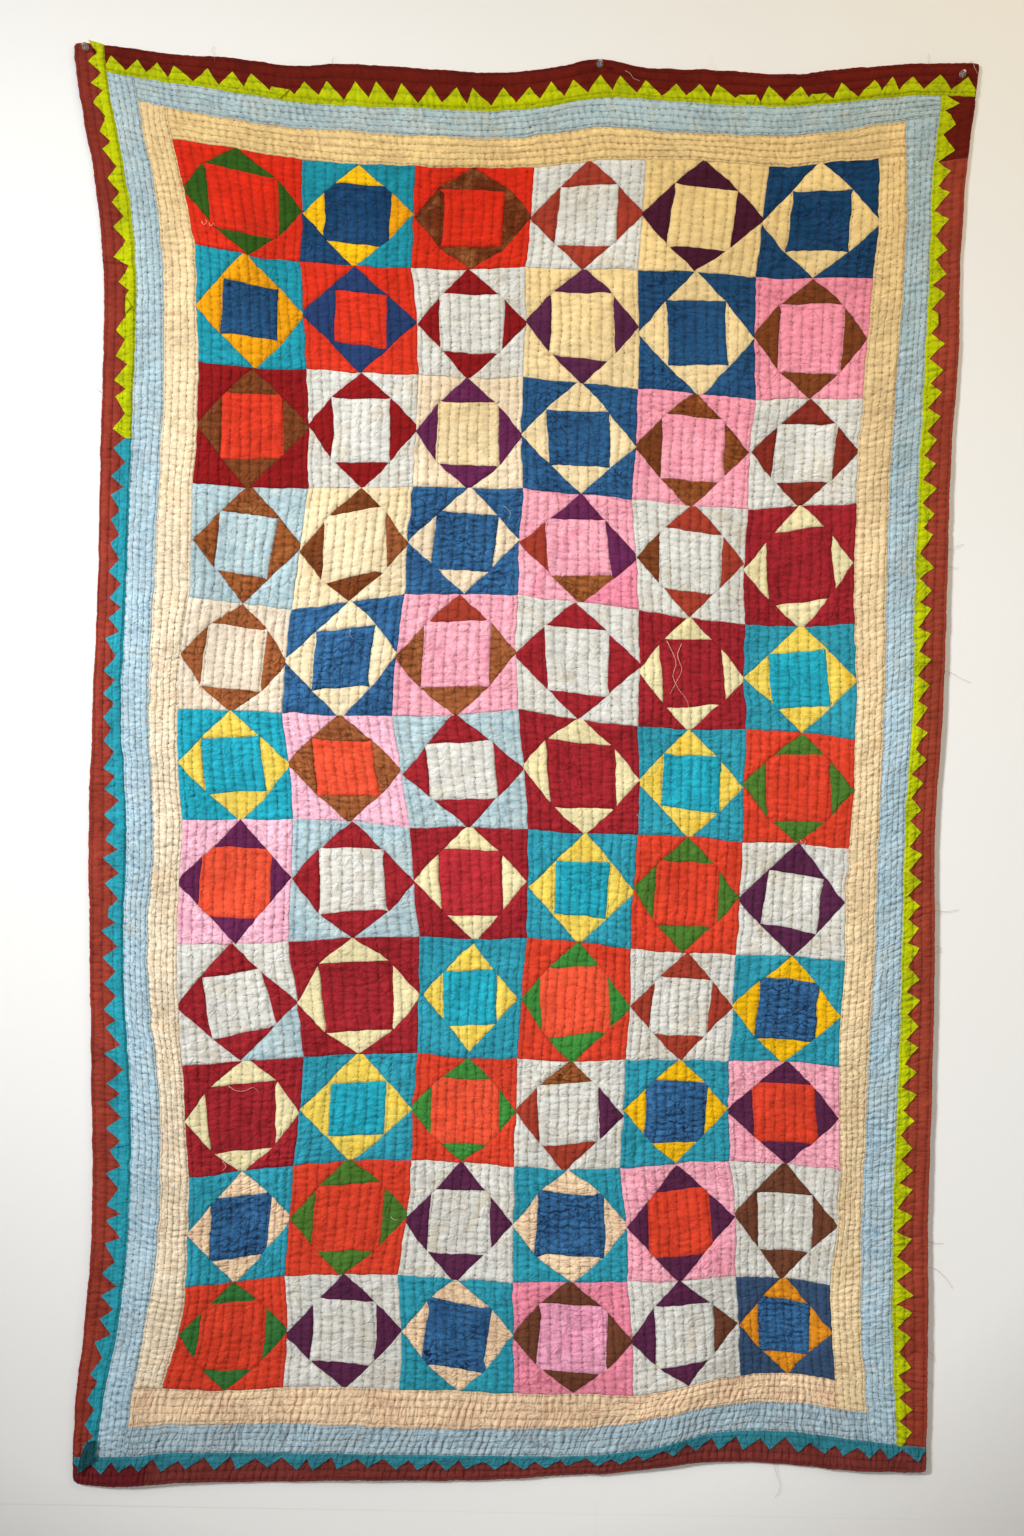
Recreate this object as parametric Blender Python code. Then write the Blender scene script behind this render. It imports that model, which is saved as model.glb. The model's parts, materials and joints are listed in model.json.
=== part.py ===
"""Ralli quilt hung on three push pins, cut piece by piece and hung in the shape it takes on a wall.

Every piece of cloth is cut flat, in millimetres across and down from the quilt's top left corner, creased
where the cloth bends, and then hung: on_cloth() carries a flat place to its place in the air. The quilt
faces -Y and hangs along Z. Its origin is where the middle pin's needle meets the wall, the plane y = 0.
"""

import math
from collections import namedtuple

import bmesh
import bpy
import numpy as np
from mathutils import Matrix, Vector

MM = 0.001

# The cloth, in millimetres
CLOTH = 3.6  # several layers of old cotton, quilted together
APPLIQUE = 1.0  # a folded strip of one cotton
GAP = 0.3
SEAM = 0.32  # what is left out of a piece's flat width along a seam, shared by its two sides
OFF_WALL = 0.7

# Flat widths, in millimetres
MAROON = 44
BLUE = 45
CREAM = 48
FIELD_WIDE = 980
FIELD_TALL = 1800
WIDE = FIELD_WIDE + 2 * (MAROON + BLUE + CREAM)
TALL = FIELD_TALL + 2 * (MAROON + BLUE + CREAM)

SEAMS_ACROSS = np.array(
    [0, MAROON, MAROON + BLUE, MAROON + BLUE + CREAM]
    + [WIDE - MAROON - BLUE - CREAM, WIDE - MAROON - BLUE, WIDE - MAROON, WIDE]
)
SEAMS_DOWN = np.array(
    [0, MAROON, MAROON + BLUE, MAROON + BLUE + CREAM]
    + [TALL - MAROON - BLUE - CREAM, TALL - MAROON - BLUE, TALL - MAROON, TALL]
)

# Where the upright seams hang, in millimetres from the middle pin: a row for each height
Level = namedtuple(
    "Level",
    "height left_edge left_blue left_cream left_field right_field right_cream right_blue right_edge",
)
LEVELS = [
    Level(10, -769, -728, -688, -647, 412, 448, 512, 557),
    Level(-70, -756, -715, -676, -634, 410, 448, 501, 548),
    Level(-140, -743, -702, -662, -622, 409, 450, 492, 539),
    Level(-290, -728, -682, -643, -594, 403, 447, 485, 531),
    Level(-430, -728, -684, -640, -589, 391, 436, 478, 526),
    Level(-575, -732, -689, -645, -595, 380, 426, 470, 518),
    Level(-750, -736, -695, -654, -602, 375, 421, 464, 512),
    Level(-945, -745, -703, -662, -618, 375, 417, 459, 505),
    Level(-1135, -751, -695, -655, -614, 368, 408, 448, 493),
    Level(-1305, -750, -700, -664, -619, 360, 402, 444, 492),
    Level(-1505, -748, -690, -647, -610, 351, 392, 437, 488),
    Level(-1700, -748, -692, -648, -605, 346, 384, 431, 481),
    Level(-1840, -756, -706, -666, -617, 341, 383, 429, 482),
    Level(-1960, -769, -729, -686, -646, 346, 390, 433, 481),
    Level(-2080, -775, -745, -707, -668, 354, 398, 437, 479),
]

# How high the level seams hang, in millimetres from the middle pin: a row for each place across
Station = namedtuple(
    "Station",
    "across top_edge top_blue top_cream top_field bottom_field bottom_cream bottom_blue bottom_edge",
)
STATIONS = [
    Station(-770, 31, -3, -36, -88, -1948, -2007, -2045, -2083),
    Station(-710, 26, -13, -46, -97, -1943, -2002, -2045, -2090),
    Station(-640, 16, -25, -62, -109, -1942, -1996, -2039, -2084),
    Station(-545, 9, -40, -81, -123, -1944, -1996, -2039, -2080),
    Station(-450, 0, -55, -94, -138, -1943, -1996, -2040, -2083),
    Station(-380, 1, -60, -98, -144, -1943, -1997, -2040, -2084),
    Station(-245, -6, -66, -107, -152, -1948, -2003, -2043, -2084),
    Station(-130, -12, -67, -107, -153, -1951, -2002, -2046, -2080),
    Station(-57, -3, -57, -98, -149, -1952, -2002, -2046, -2074),
    Station(0, 8, -48, -92, -143, -1953, -1996, -2042, -2071),
    Station(63, -4, -50, -96, -141, -1950, -1986, -2033, -2062),
    Station(167, -9, -58, -103, -147, -1932, -1967, -2009, -2054),
    Station(270, -16, -62, -106, -151, -1925, -1965, -2008, -2056),
    Station(375, -4, -54, -95, -143, -1933, -1976, -2019, -2068),
    Station(470, 1, -45, -79, -132, -1937, -1982, -2030, -2066),
    Station(557, 0, -47, -69, -122, -1940, -1984, -2033, -2061),
]

# Soft upright folds that stand off the wall, in millimetres: a row for each fold
Fold = namedtuple("Fold", "middle half_width rise top bottom")
FOLDS = [
    Fold(-560, 135, 6, 120, -640),
    Fold(-290, 170, 9, 120, -880),
    Fold(185, 120, 6, 120, -600),
    Fold(385, 120, 8, 120, -820),
    Fold(-660, 170, 5, -480, -1620),
    Fold(480, 190, 8, -330, -2250),
    Fold(-110, 240, 5, -880, -2250),
    Fold(-650, 160, 8, -1520, -2330),
    Fold(-345, 140, 6, -1640, -2330),
    Fold(100, 130, 7, -1580, -2330),
    Fold(390, 140, 5, -1720, -2330),
]

# Push pins: where each needle is, in millimetres from the middle one, and the strips that it goes through
Pin = namedtuple("Pin", "name across height strips")
PINS = [
    Pin("left", -755, 25, ["maroon_border_left_upper"]),
    Pin("middle", 0, 0, ["maroon_border_top"]),
    Pin("right", 532, -15, ["maroon_border_top", "sawtooth_top_lime"]),
]
PIN_REACH = 130  # how far from a pin the cloth is still drawn to the wall
PIN_CLEAR = APPLIQUE + 2 * GAP + 0.1  # between the cloth and a head's flange, which may press on a tooth

# A turned outline is a list of radius and distance along the pin, in millimetres.
HEAD_OUTLINE = [(0, 0), (5.2, 0), (5.2, 0.9), (4.4, 1.6), (2.9, 2.6), (2.5, 6.2), (3.3, 8.6), (4.0, 9.6)]
HEAD_OUTLINE += [(4.0, 10.8), (2.2, 11.3), (0, 11.4)]
NEEDLE_OUTLINE = [(0, 0), (0.55, 0), (0.55, 9.0), (0.08, 12.5), (0, 12.6)]
NEEDLE_HOLE = 0.55 + GAP
HEAD_SIDES = 20
NEEDLE_SIDES = 12

# How many equal steps the field bends in when it hangs
STEPS_ACROSS = 14
STEPS_DOWN = 28
MIDDLE_CREASE = 733  # across, below the middle pin, where the top edge is drawn up

# Cross seams in the maroon border, in millimetres down or across
LEFT_JOIN = 328
RIGHT_JOIN = 150
BOTTOM_JOIN = 136
TEAL_START = 577  # where the left sawtooth changes from lime to teal

# Sawtooth strips, in millimetres: where each starts and ends along its seam, its plain band and its reach
Sawtooth = namedtuple("Sawtooth", "name start end teeth seam side band reach")
SAWTEETH = [
    Sawtooth("left_lime", -21, TEAL_START, 17, "left", -1, 13, 28),
    Sawtooth("left_teal", TEAL_START, TALL - MAROON, 42, "left", -1, 12, 28),
    Sawtooth("top_lime", MAROON, WIDE, 36, "top", -1, 10, 31),
    Sawtooth("right_lime", MAROON, TALL - MAROON, 56, "right", 1, 7, 24),
    Sawtooth("bottom_teal", 0, WIDE, 33, "bottom", 1, 8, 31),
]
TOOTH_STRAY = 0.1  # how uneven tips and valleys are, as a share of the pitch or reach
# The teal strip's end at the bottom left corner, folded over on itself into a leaf: across and down
FOLDED_END = [(27, 2006), (20, 2017), (14, 2033), (10, 2054), (24, 2042), (43, 2031), (43, 2003)]

COTTONS = {
    "field": (0.56, 0.07, 0.03),
    "cream": (0.82, 0.62, 0.32),
    "blue": (0.40, 0.60, 0.72),
    "maroon": (0.16, 0.02, 0.012),
    "dark_maroon": (0.10, 0.01, 0.012),
    "lime": (0.45, 0.55, 0.01),
    "teal": (0.01, 0.28, 0.37),
}
CLEAR_PLASTIC = (0.85, 0.87, 0.88)
STEEL = (0.55, 0.56, 0.58)


# Hanging


def ease(a, b, value):
    """0 up to a, 1 from b on, and a smooth run between them."""
    f = min(max((value - a) / (b - a), 0.0), 1.0)
    return f * f * (3 - 2 * f)


def smooth_table(rows):
    """A table whose first column rises, as a function that runs smoothly through its rows."""
    table = np.array(sorted(rows), float)
    at, values = table[:, 0], table[:, 1:]
    slopes = np.gradient(values, at, axis=0)

    def read(place):
        k = int(np.clip(np.searchsorted(at, place) - 1, 0, len(at) - 2))
        wide = at[k + 1] - at[k]
        f = min(max((place - at[k]) / wide, 0.0), 1.0)
        start = (1 + 2 * f) * (1 - f) ** 2 * values[k] + f * (1 - f) ** 2 * wide * slopes[k]
        end = f * f * (3 - 2 * f) * values[k + 1] + f * f * (f - 1) * wide * slopes[k + 1]
        return start + end

    return read


seams_at_height = smooth_table(LEVELS)
seams_at_place = smooth_table(STATIONS)


def stand_off(x, z):
    """How far the quilt's back is from the wall, in millimetres."""
    off = 0.0
    for fold in FOLDS:
        side = abs(x - fold.middle) / fold.half_width
        if side < 1:
            swell = 0.5 + 0.5 * math.cos(math.pi * side)
            length = fold.top - fold.bottom
            rise = fold.rise * ease(fold.bottom, fold.bottom + 0.3 * length, z)
            off += rise * swell * (1 - ease(fold.top - 0.3 * length, fold.top, z))
    for pin in PINS:
        off *= ease(0, PIN_REACH, math.hypot(x - pin.across, z - pin.height))
    return OFF_WALL + off


def settle(across, down):
    """Where a flat place hangs as seen from the front: x and z in millimetres."""
    x, z = across - WIDE / 2, -down
    for _ in range(6):
        x = np.interp(across, SEAMS_ACROSS, seams_at_height(z))
        z = np.interp(down, SEAMS_DOWN, seams_at_place(x))
    return x, z


def hang(across, down):
    """Where a flat place of the quilt's face hangs: x, y and z in millimetres.

    The maroon border is stiff with its turned edge, so it stands off the wall as its seam does.
    """
    x, z = settle(across, down)
    seam_across = np.clip(across, MAROON, WIDE - MAROON)
    seam_down = np.clip(down, MAROON, TALL - MAROON)
    return np.array([x, -stand_off(*settle(seam_across, seam_down)) - CLOTH, z])


def crease_places(seams, steps, *more):
    """Where the cloth bends one way: at its seams, at equal steps over the field, and at more."""
    return np.unique(np.concatenate([seams, np.linspace(seams[3], seams[4], steps + 1), more]))


ACROSS = crease_places(SEAMS_ACROSS, STEPS_ACROSS, MIDDLE_CREASE)
DOWN = crease_places(SEAMS_DOWN, STEPS_DOWN)
HUNG = np.array([[hang(a, d) for d in DOWN] for a in ACROSS])


def on_cloth(across, down):
    """Where a flat place lies on the quilt's face, which is straight between its creases."""
    i = int(np.clip(np.searchsorted(ACROSS, across) - 1, 0, len(ACROSS) - 2))
    j = int(np.clip(np.searchsorted(DOWN, down) - 1, 0, len(DOWN) - 2))
    f = (across - ACROSS[i]) / (ACROSS[i + 1] - ACROSS[i])
    g = (down - DOWN[j]) / (DOWN[j + 1] - DOWN[j])
    upper = (1 - f) * HUNG[i, j] + f * HUNG[i + 1, j]
    lower = (1 - f) * HUNG[i, j + 1] + f * HUNG[i + 1, j + 1]
    return (1 - g) * upper + g * lower


# Cutting and sewing


def material(name, colour, roughness=0.9, metallic=0.0):
    made = bpy.data.materials.get(name) or bpy.data.materials.new(name)
    made.use_nodes = True
    shader = made.node_tree.nodes["Principled BSDF"]
    shader.inputs["Base Color"].default_value = (*colour, 1)
    shader.inputs["Roughness"].default_value = roughness
    shader.inputs["Metallic"].default_value = metallic
    made.diffuse_color = (*colour, 1)
    return made


def new_object(name, bm, collection, finish):
    mesh = bpy.data.meshes.new(name)
    bm.to_mesh(mesh)
    bm.free()
    mesh.materials.append(finish)
    made = bpy.data.objects.new(name, mesh)
    collection.objects.link(made)
    return made


def crease(bm):
    """Cuts the flat piece along every crease that crosses it."""
    for axis, places in ((0, ACROSS), (1, DOWN)):
        low = min(v.co[axis] for v in bm.verts)
        high = max(v.co[axis] for v in bm.verts)
        normal = Vector((axis == 0, axis == 1, 0))
        for place in places:
            if low + 1 < place < high - 1:
                everything = bm.verts[:] + bm.edges[:] + bm.faces[:]
                bmesh.ops.bisect_plane(bm, geom=everything, plane_co=normal * place, plane_no=normal)


def sew(name, outline, collection, finish, thickness=CLOTH, lift=0.0):
    """Cuts a flat outline, hangs it lift mm proud of the quilt's face, and thickens it backwards."""
    bm = bmesh.new()
    bm.faces.new([bm.verts.new((a, d, 0)) for a, d in outline])
    trim = bm.verts[:] + bm.edges[:] + bm.faces[:]
    bmesh.ops.bisect_plane(bm, geom=trim, plane_co=(0, 0, 0), plane_no=(0, -1, 0), clear_outer=True)
    crease(bm)
    bmesh.ops.triangulate(bm, faces=bm.faces[:], ngon_method="EAR_CLIP")
    for v in bm.verts:
        x, y, z = on_cloth(v.co.x, v.co.y)
        v.co = Vector((x, y - lift, z)) * MM
    backs = bmesh.ops.extrude_face_region(bm, geom=bm.faces[:])["geom"]
    for v in backs:
        if isinstance(v, bmesh.types.BMVert):
            v.co.y += thickness * MM
    bmesh.ops.recalc_face_normals(bm, faces=bm.faces[:])
    return new_object(name, bm, collection, finish)


def strip(left, top, right, bottom):
    """The outline of a straight piece between its seams, each side short by half the seam's gap."""
    half = SEAM / 2
    a0 = left + (half if left > 0 else 0)
    a1 = right - (half if right < WIDE else 0)
    d0 = top + (half if top > 0 else 0)
    d1 = bottom - (half if bottom < TALL else 0)
    return [(a0, d0), (a0, d1), (a1, d1), (a1, d0)]


def sawtooth(strip, seam, seed):
    """A sawtooth strip's outline as places along and off its seam."""
    stray = np.random.default_rng(seed)
    start, end = strip.start + SEAM, strip.end - SEAM
    pitch = (end - start) / strip.teeth
    line = [(start, seam + strip.side * SEAM / 2), (end, seam + strip.side * SEAM / 2)]
    for k in reversed(range(strip.teeth)):
        lean, depth, reach = TOOTH_STRAY * stray.uniform(-1, 1, 3)
        line.append((start + (k + 1) * pitch, seam + strip.side * strip.band * (1 + depth)))
        line.append((start + (k + 0.5 + lean) * pitch, seam + strip.side * strip.reach * (1 + reach)))
    line.append((start, seam + strip.side * strip.band))
    return line


def turned(name, outline, sides, finish, collection):
    """Turns an outline about the Y axis, its length running towards -Y, with its start at the origin."""
    bm = bmesh.new()
    verts = [bm.verts.new((radius * MM, 0, along * MM)) for radius, along in outline]
    edges = [bm.edges.new(pair) for pair in zip(verts, verts[1:])]
    bmesh.ops.spin(
        bm,
        geom=verts + edges,
        cent=(0, 0, 0),
        axis=(0, 0, 1),
        angle=2 * math.pi,
        steps=sides,
        use_merge=True,
    )
    bmesh.ops.remove_doubles(bm, verts=bm.verts[:], dist=1e-6)
    bmesh.ops.rotate(bm, cent=(0, 0, 0), matrix=Matrix.Rotation(math.pi / 2, 3, "X"), verts=bm.verts[:])
    bmesh.ops.recalc_face_normals(bm, faces=bm.faces[:])
    made = new_object(name, bm, collection, finish)
    made.data.shade_smooth()
    made.data.set_sharp_from_angle(angle=math.radians(35))
    return made


def push_pin(pin, cloth, collection):
    """A moulded head in front of the cloth and a steel needle through it to the wall."""
    front = Vector((pin.across * MM, -1, pin.height * MM))
    hit, face, _, _ = cloth.ray_cast(front, Vector((0, 1, 0)))
    if not hit:
        raise RuntimeError(f"the {pin.name} pin misses its strip")
    plastic = material("clear plastic", CLEAR_PLASTIC, 0.1)
    steel = material("steel", STEEL, 0.3, 1.0)
    head = turned(f"pin_head_{pin.name}", HEAD_OUTLINE, HEAD_SIDES, plastic, collection)
    head.location = face - Vector((0, PIN_CLEAR * MM, 0))
    needle = turned(f"pin_needle_{pin.name}", NEEDLE_OUTLINE, NEEDLE_SIDES, steel, collection)
    needle.location = face - Vector((0, (PIN_CLEAR - GAP) * MM, 0))
    needle.rotation_euler.z = math.pi


def needle_hole(pin, held, cutters):
    """Cuts a needle's hole through the strips that it holds."""
    bpy.ops.mesh.primitive_cylinder_add(
        vertices=NEEDLE_SIDES,
        radius=NEEDLE_HOLE * MM,
        depth=60 * MM,
        location=(pin.across * MM, 0, pin.height * MM),
        rotation=(math.pi / 2, 0, 0),
    )
    cutter = bpy.context.object
    cutter.name = f"needle_hole_{pin.name}"
    cutter.hide_render = True
    cutter.display_type = "WIRE"
    for owner in cutter.users_collection:
        owner.objects.unlink(cutter)
    cutters.objects.link(cutter)
    for cloth in held:
        cut = cloth.modifiers.new(f"needle hole {pin.name}", "BOOLEAN")
        cut.operation = "DIFFERENCE"
        cut.object = cutter


def main():
    for old in list(bpy.data.objects):
        bpy.data.objects.remove(old, do_unlink=True)
    quilt = bpy.data.collections.new("ralli quilt")
    cutters = bpy.data.collections.new("cutters")
    for collection in (quilt, cutters):
        bpy.context.scene.collection.children.link(collection)
    paint = {name: material(f"{name} cotton", colour) for name, colour in COTTONS.items()}

    a, d = SEAMS_ACROSS, SEAMS_DOWN
    sew("patchwork_field", strip(a[3], d[3], a[4], d[4]), quilt, paint["field"])

    # Each border goes round in the order in which it was sewn: left, top, right and bottom.
    for name, outer, inner in (("cream", 2, 3), ("blue", 1, 2)):
        far_outer, far_inner = 7 - outer, 7 - inner
        parts = {
            "left": (a[outer], d[outer], a[inner], d[far_inner if name == "cream" else far_outer]),
            "top": (a[inner], d[outer], a[far_outer], d[inner]),
            "right": (a[far_inner], d[inner], a[far_outer], d[far_outer]),
            "bottom": (a[outer if name == "cream" else inner], d[far_inner], a[far_inner], d[far_outer]),
        }
        for side, sides in parts.items():
            sew(f"{name}_border_{side}", strip(*sides), quilt, paint[name])

    maroons = {
        "left_upper": (a[0], d[0], a[1], LEFT_JOIN),
        "left_lower": (a[0], LEFT_JOIN, a[1], d[6]),
        "top": (a[1], d[0], a[7], d[1]),
        "right_upper": (a[6], d[1], a[7], RIGHT_JOIN),
        "right_lower": (a[6], RIGHT_JOIN, a[7], d[6]),
        "bottom": (BOTTOM_JOIN, d[6], a[7], d[7]),
        "bottom_corner": (a[0], d[6], BOTTOM_JOIN, d[7]),
    }
    for side, sides in maroons.items():
        finish = paint["dark_maroon" if side == "bottom_corner" else "maroon"]
        sew(f"maroon_border_{side}", strip(*sides), quilt, finish)

    # Applique strips lie on the maroon, their teeth pointing out.
    seams = {"left": a[1], "right": a[6], "top": d[1], "bottom": d[6]}
    for seed, tooth_strip in enumerate(SAWTEETH):
        outline = sawtooth(tooth_strip, seams[tooth_strip.seam], seed)
        if tooth_strip.seam in ("left", "right"):
            outline = [(off, along) for along, off in outline]
        finish = paint["lime" if "lime" in tooth_strip.name else "teal"]
        sew(f"sawtooth_{tooth_strip.name}", outline, quilt, finish, APPLIQUE, GAP + APPLIQUE)
    sew("sawtooth_folded_end", FOLDED_END, quilt, paint["teal"], APPLIQUE, 2 * (GAP + APPLIQUE))

    for pin in PINS:
        held = [quilt.objects[name] for name in pin.strips]
        push_pin(pin, held[0], quilt)
        needle_hole(pin, held, cutters)


main()
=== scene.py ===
"""Ralli quilt on three push pins: patchwork, borders, sawtooth strips, running stitches and the pins.

Every piece of cloth is cut flat, in millimetres across and down from the quilt's top left corner. hang()
carries a flat place to the shape in which the quilt hangs, in metres, facing -Y and with Z up.
"""

import json
import math
from collections import namedtuple

import bmesh
import bpy
import numpy as np
from bpy.props import FloatProperty, FloatVectorProperty, PointerProperty
from mathutils import Matrix, Vector

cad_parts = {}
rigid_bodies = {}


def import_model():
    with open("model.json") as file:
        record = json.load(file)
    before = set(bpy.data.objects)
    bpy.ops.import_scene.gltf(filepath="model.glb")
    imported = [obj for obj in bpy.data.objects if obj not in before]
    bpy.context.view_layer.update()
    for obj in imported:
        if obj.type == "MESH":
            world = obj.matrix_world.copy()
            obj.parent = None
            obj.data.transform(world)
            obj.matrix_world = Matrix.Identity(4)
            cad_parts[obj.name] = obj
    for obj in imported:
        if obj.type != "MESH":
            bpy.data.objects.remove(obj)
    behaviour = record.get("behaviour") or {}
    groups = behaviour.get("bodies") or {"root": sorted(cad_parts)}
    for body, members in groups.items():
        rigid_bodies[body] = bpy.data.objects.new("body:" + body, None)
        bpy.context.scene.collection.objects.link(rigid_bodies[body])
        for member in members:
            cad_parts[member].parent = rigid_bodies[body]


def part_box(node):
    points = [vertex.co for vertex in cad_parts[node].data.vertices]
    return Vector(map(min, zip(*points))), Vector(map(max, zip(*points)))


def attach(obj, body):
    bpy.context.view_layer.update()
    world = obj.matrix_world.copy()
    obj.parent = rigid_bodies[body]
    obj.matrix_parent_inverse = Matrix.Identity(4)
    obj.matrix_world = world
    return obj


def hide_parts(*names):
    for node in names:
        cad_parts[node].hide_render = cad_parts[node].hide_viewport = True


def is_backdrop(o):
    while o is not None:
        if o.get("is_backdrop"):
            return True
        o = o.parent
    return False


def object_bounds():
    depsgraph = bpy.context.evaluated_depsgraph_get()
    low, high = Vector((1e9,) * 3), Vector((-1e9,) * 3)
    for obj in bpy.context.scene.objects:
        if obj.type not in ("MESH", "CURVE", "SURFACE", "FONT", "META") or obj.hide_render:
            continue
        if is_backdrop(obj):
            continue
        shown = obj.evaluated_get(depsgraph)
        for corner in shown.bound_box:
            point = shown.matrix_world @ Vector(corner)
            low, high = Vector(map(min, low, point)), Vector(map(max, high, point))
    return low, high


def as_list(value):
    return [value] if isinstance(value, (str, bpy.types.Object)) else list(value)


bl_info = {
    "name": "Ralli quilt",
    "version": (1, 0, 0),
    "blender": (4, 5, 0),
    "location": "3D View > Sidebar > Ralli quilt",
    "description": "Sews a patchwork quilt with sawtooth borders and hangs it on push pins",
    "category": "Add Mesh",
}

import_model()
CAD_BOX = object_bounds()
MM = 0.001

# Flat widths, in millimetres
MAROON, BLUE, CREAM = 44, 45, 48
BORDERS = MAROON + BLUE + CREAM
FIELD_WIDE, FIELD_TALL = 980, 1800
WIDE, TALL = FIELD_WIDE + 2 * BORDERS, FIELD_TALL + 2 * BORDERS
COLUMNS, ROWS = 6, 11
BLOCK_WIDE, BLOCK_TALL = FIELD_WIDE / COLUMNS, FIELD_TALL / ROWS
OFF_WALL = 0.7


def seam_places(whole):
    """Where the seams run, from one edge to the other: the edge, blue, cream, field and back again."""
    near = [0, MAROON, MAROON + BLUE, BORDERS]
    return np.array(near + [whole - place for place in near[::-1]])


A, D = seam_places(WIDE), seam_places(TALL)  # the upright seams across, and the level seams down

# Where the upright seams hang, in millimetres from the middle pin: a row for each height, then its seams
LEVELS = [
    (10, -770, -728, -688, -647, 412, 448, 512, 557),
    (-70, -758, -715, -676, -634, 410, 448, 501, 548),
    (-140, -745, -702, -662, -622, 409, 450, 492, 539),
    (-290, -728, -682, -643, -594, 403, 447, 485, 528),
    (-430, -728, -684, -640, -589, 391, 436, 478, 525),
    (-575, -732, -689, -645, -595, 380, 426, 470, 514),
    (-750, -735, -695, -654, -602, 375, 421, 464, 509),
    (-945, -743, -703, -662, -618, 375, 417, 459, 502),
    (-1135, -749, -695, -655, -614, 368, 408, 448, 490),
    (-1305, -747, -700, -664, -619, 360, 402, 444, 490),
    (-1505, -745, -690, -647, -610, 351, 392, 437, 486),
    (-1700, -744, -692, -648, -605, 346, 384, 431, 480),
    (-1840, -754, -706, -666, -617, 341, 383, 429, 480),
    (-1960, -768, -729, -686, -646, 346, 390, 433, 479),
    (-2080, -773, -745, -707, -668, 354, 398, 437, 477),
]

# How high the level seams hang, in millimetres from the middle pin: a row for each place across, then
# its seams
STATIONS = [
    (-770, 31, -3, -36, -88, -1948, -2007, -2045, -2083),
    (-710, 26, -13, -46, -97, -1943, -2002, -2045, -2087),
    (-640, 15, -25, -62, -109, -1942, -1996, -2039, -2082),
    (-545, 8, -40, -81, -123, -1944, -1996, -2039, -2080),
    (-450, -3, -55, -94, -138, -1943, -1996, -2040, -2079),
    (-380, -1, -60, -98, -144, -1943, -1997, -2040, -2077),
    (-245, -9, -66, -107, -152, -1948, -2003, -2042, -2078),
    (-130, -13, -67, -107, -153, -1951, -2002, -2044, -2075),
    (-57, -4, -57, -98, -149, -1952, -2002, -2044, -2070),
    (0, 7, -48, -92, -143, -1953, -1996, -2041, -2068),
    (63, -5, -50, -96, -141, -1950, -1986, -2033, -2062),
    (167, -10, -58, -103, -147, -1932, -1967, -2009, -2050),
    (270, -16, -62, -106, -151, -1925, -1965, -2008, -2054),
    (375, -7, -54, -95, -143, -1933, -1976, -2019, -2063),
    (470, 0, -45, -79, -132, -1937, -1982, -2030, -2065),
    (557, 0, -47, -69, -122, -1940, -1984, -2033, -2061),
]

# Soft upright folds that stand off the wall, in millimetres: a row for each fold
Fold = namedtuple("Fold", "middle half_width rise top bottom")
FOLDS = [
    Fold(-560, 135, 6, 120, -640),
    Fold(-290, 170, 9, 120, -880),
    Fold(185, 120, 6, 120, -600),
    Fold(385, 120, 8, 120, -820),
    Fold(-660, 170, 5, -480, -1620),
    Fold(450, 170, 5, -330, -2250),
    Fold(-110, 240, 5, -880, -2250),
    Fold(-650, 160, 8, -1520, -2330),
    Fold(-345, 140, 6, -1640, -2330),
    Fold(100, 130, 7, -1580, -2330),
    Fold(390, 140, 5, -1720, -2330),
]

# Where the corners of the blocks hang, in millimetres from the middle pin: a row for each seam between
# rows of blocks, with its seven places across and then their heights
BLOCK_SEAMS = [
    (-628, -438, -272, -96, 69, 247, 409, -110, -140, -151, -151, -140, -151, -140),
    (-595, -440, -276, -109, 56, 229, 401, -265, -290, -301, -297, -303, -313, -315),
    (-589, -431, -266, -113, 56, 228, 385, -437, -448, -457, -459, -476, -492, -491),
    (-597, -428, -275, -112, 47, 218, 376, -614, -622, -620, -622, -639, -653, -645),
    (-603, -453, -287, -121, 57, 212, 373, -782, -801, -778, -779, -801, -822, -822),
    (-619, -466, -304, -119, 56, 215, 375, -947, -951, -958, -947, -973, -976, -991),
    (-613, -450, -279, -106, 56, 210, 366, -1110, -1108, -1120, -1123, -1130, -1142, -1151),
    (-620, -457, -265, -107, 46, 201, 359, -1291, -1288, -1280, -1282, -1298, -1308, -1317),
    (-613, -435, -268, -122, 38, 190, 351, -1471, -1457, -1452, -1460, -1461, -1464, -1471),
    (-603, -450, -276, -126, 29, 191, 353, -1635, -1617, -1608, -1618, -1620, -1610, -1624),
    (-607, -462, -297, -128, 41, 200, 337, -1795, -1779, -1777, -1788, -1786, -1780, -1793),
    (-642, -465, -293, -126, 49, 206, 344, -1942, -1943, -1945, -1951, -1954, -1924, -1930),
]
SEAM_BEND = 3  # how far the blocks' seams bend between their corners

# Dyes of a block's four corners, four points and centre: blocks on one diagonal share a row, from the
# top left corner down
DIAGONALS = [
    ("red", "green", "red"),
    ("teal", "yellow", "blue"),
    ("red", "brown", "red"),
    ("grey", "maroon", "grey"),
    ("cream", "purple", "cream"),
    ("blue", "cream", "blue"),
    ("pink", "brown", "pink"),
    ("grey", "maroon", "grey"),
    ("maroon", "primrose", "maroon"),
    ("faded_teal", "yellow", "teal"),
    ("red", "green", "red"),
    ("grey", "purple", "grey"),
    ("faded_teal", "yellow", "blue"),
    ("pink", "purple", "red"),
    ("grey", "umber", "grey"),
    ("blue", "orange", "blue"),
]

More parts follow.
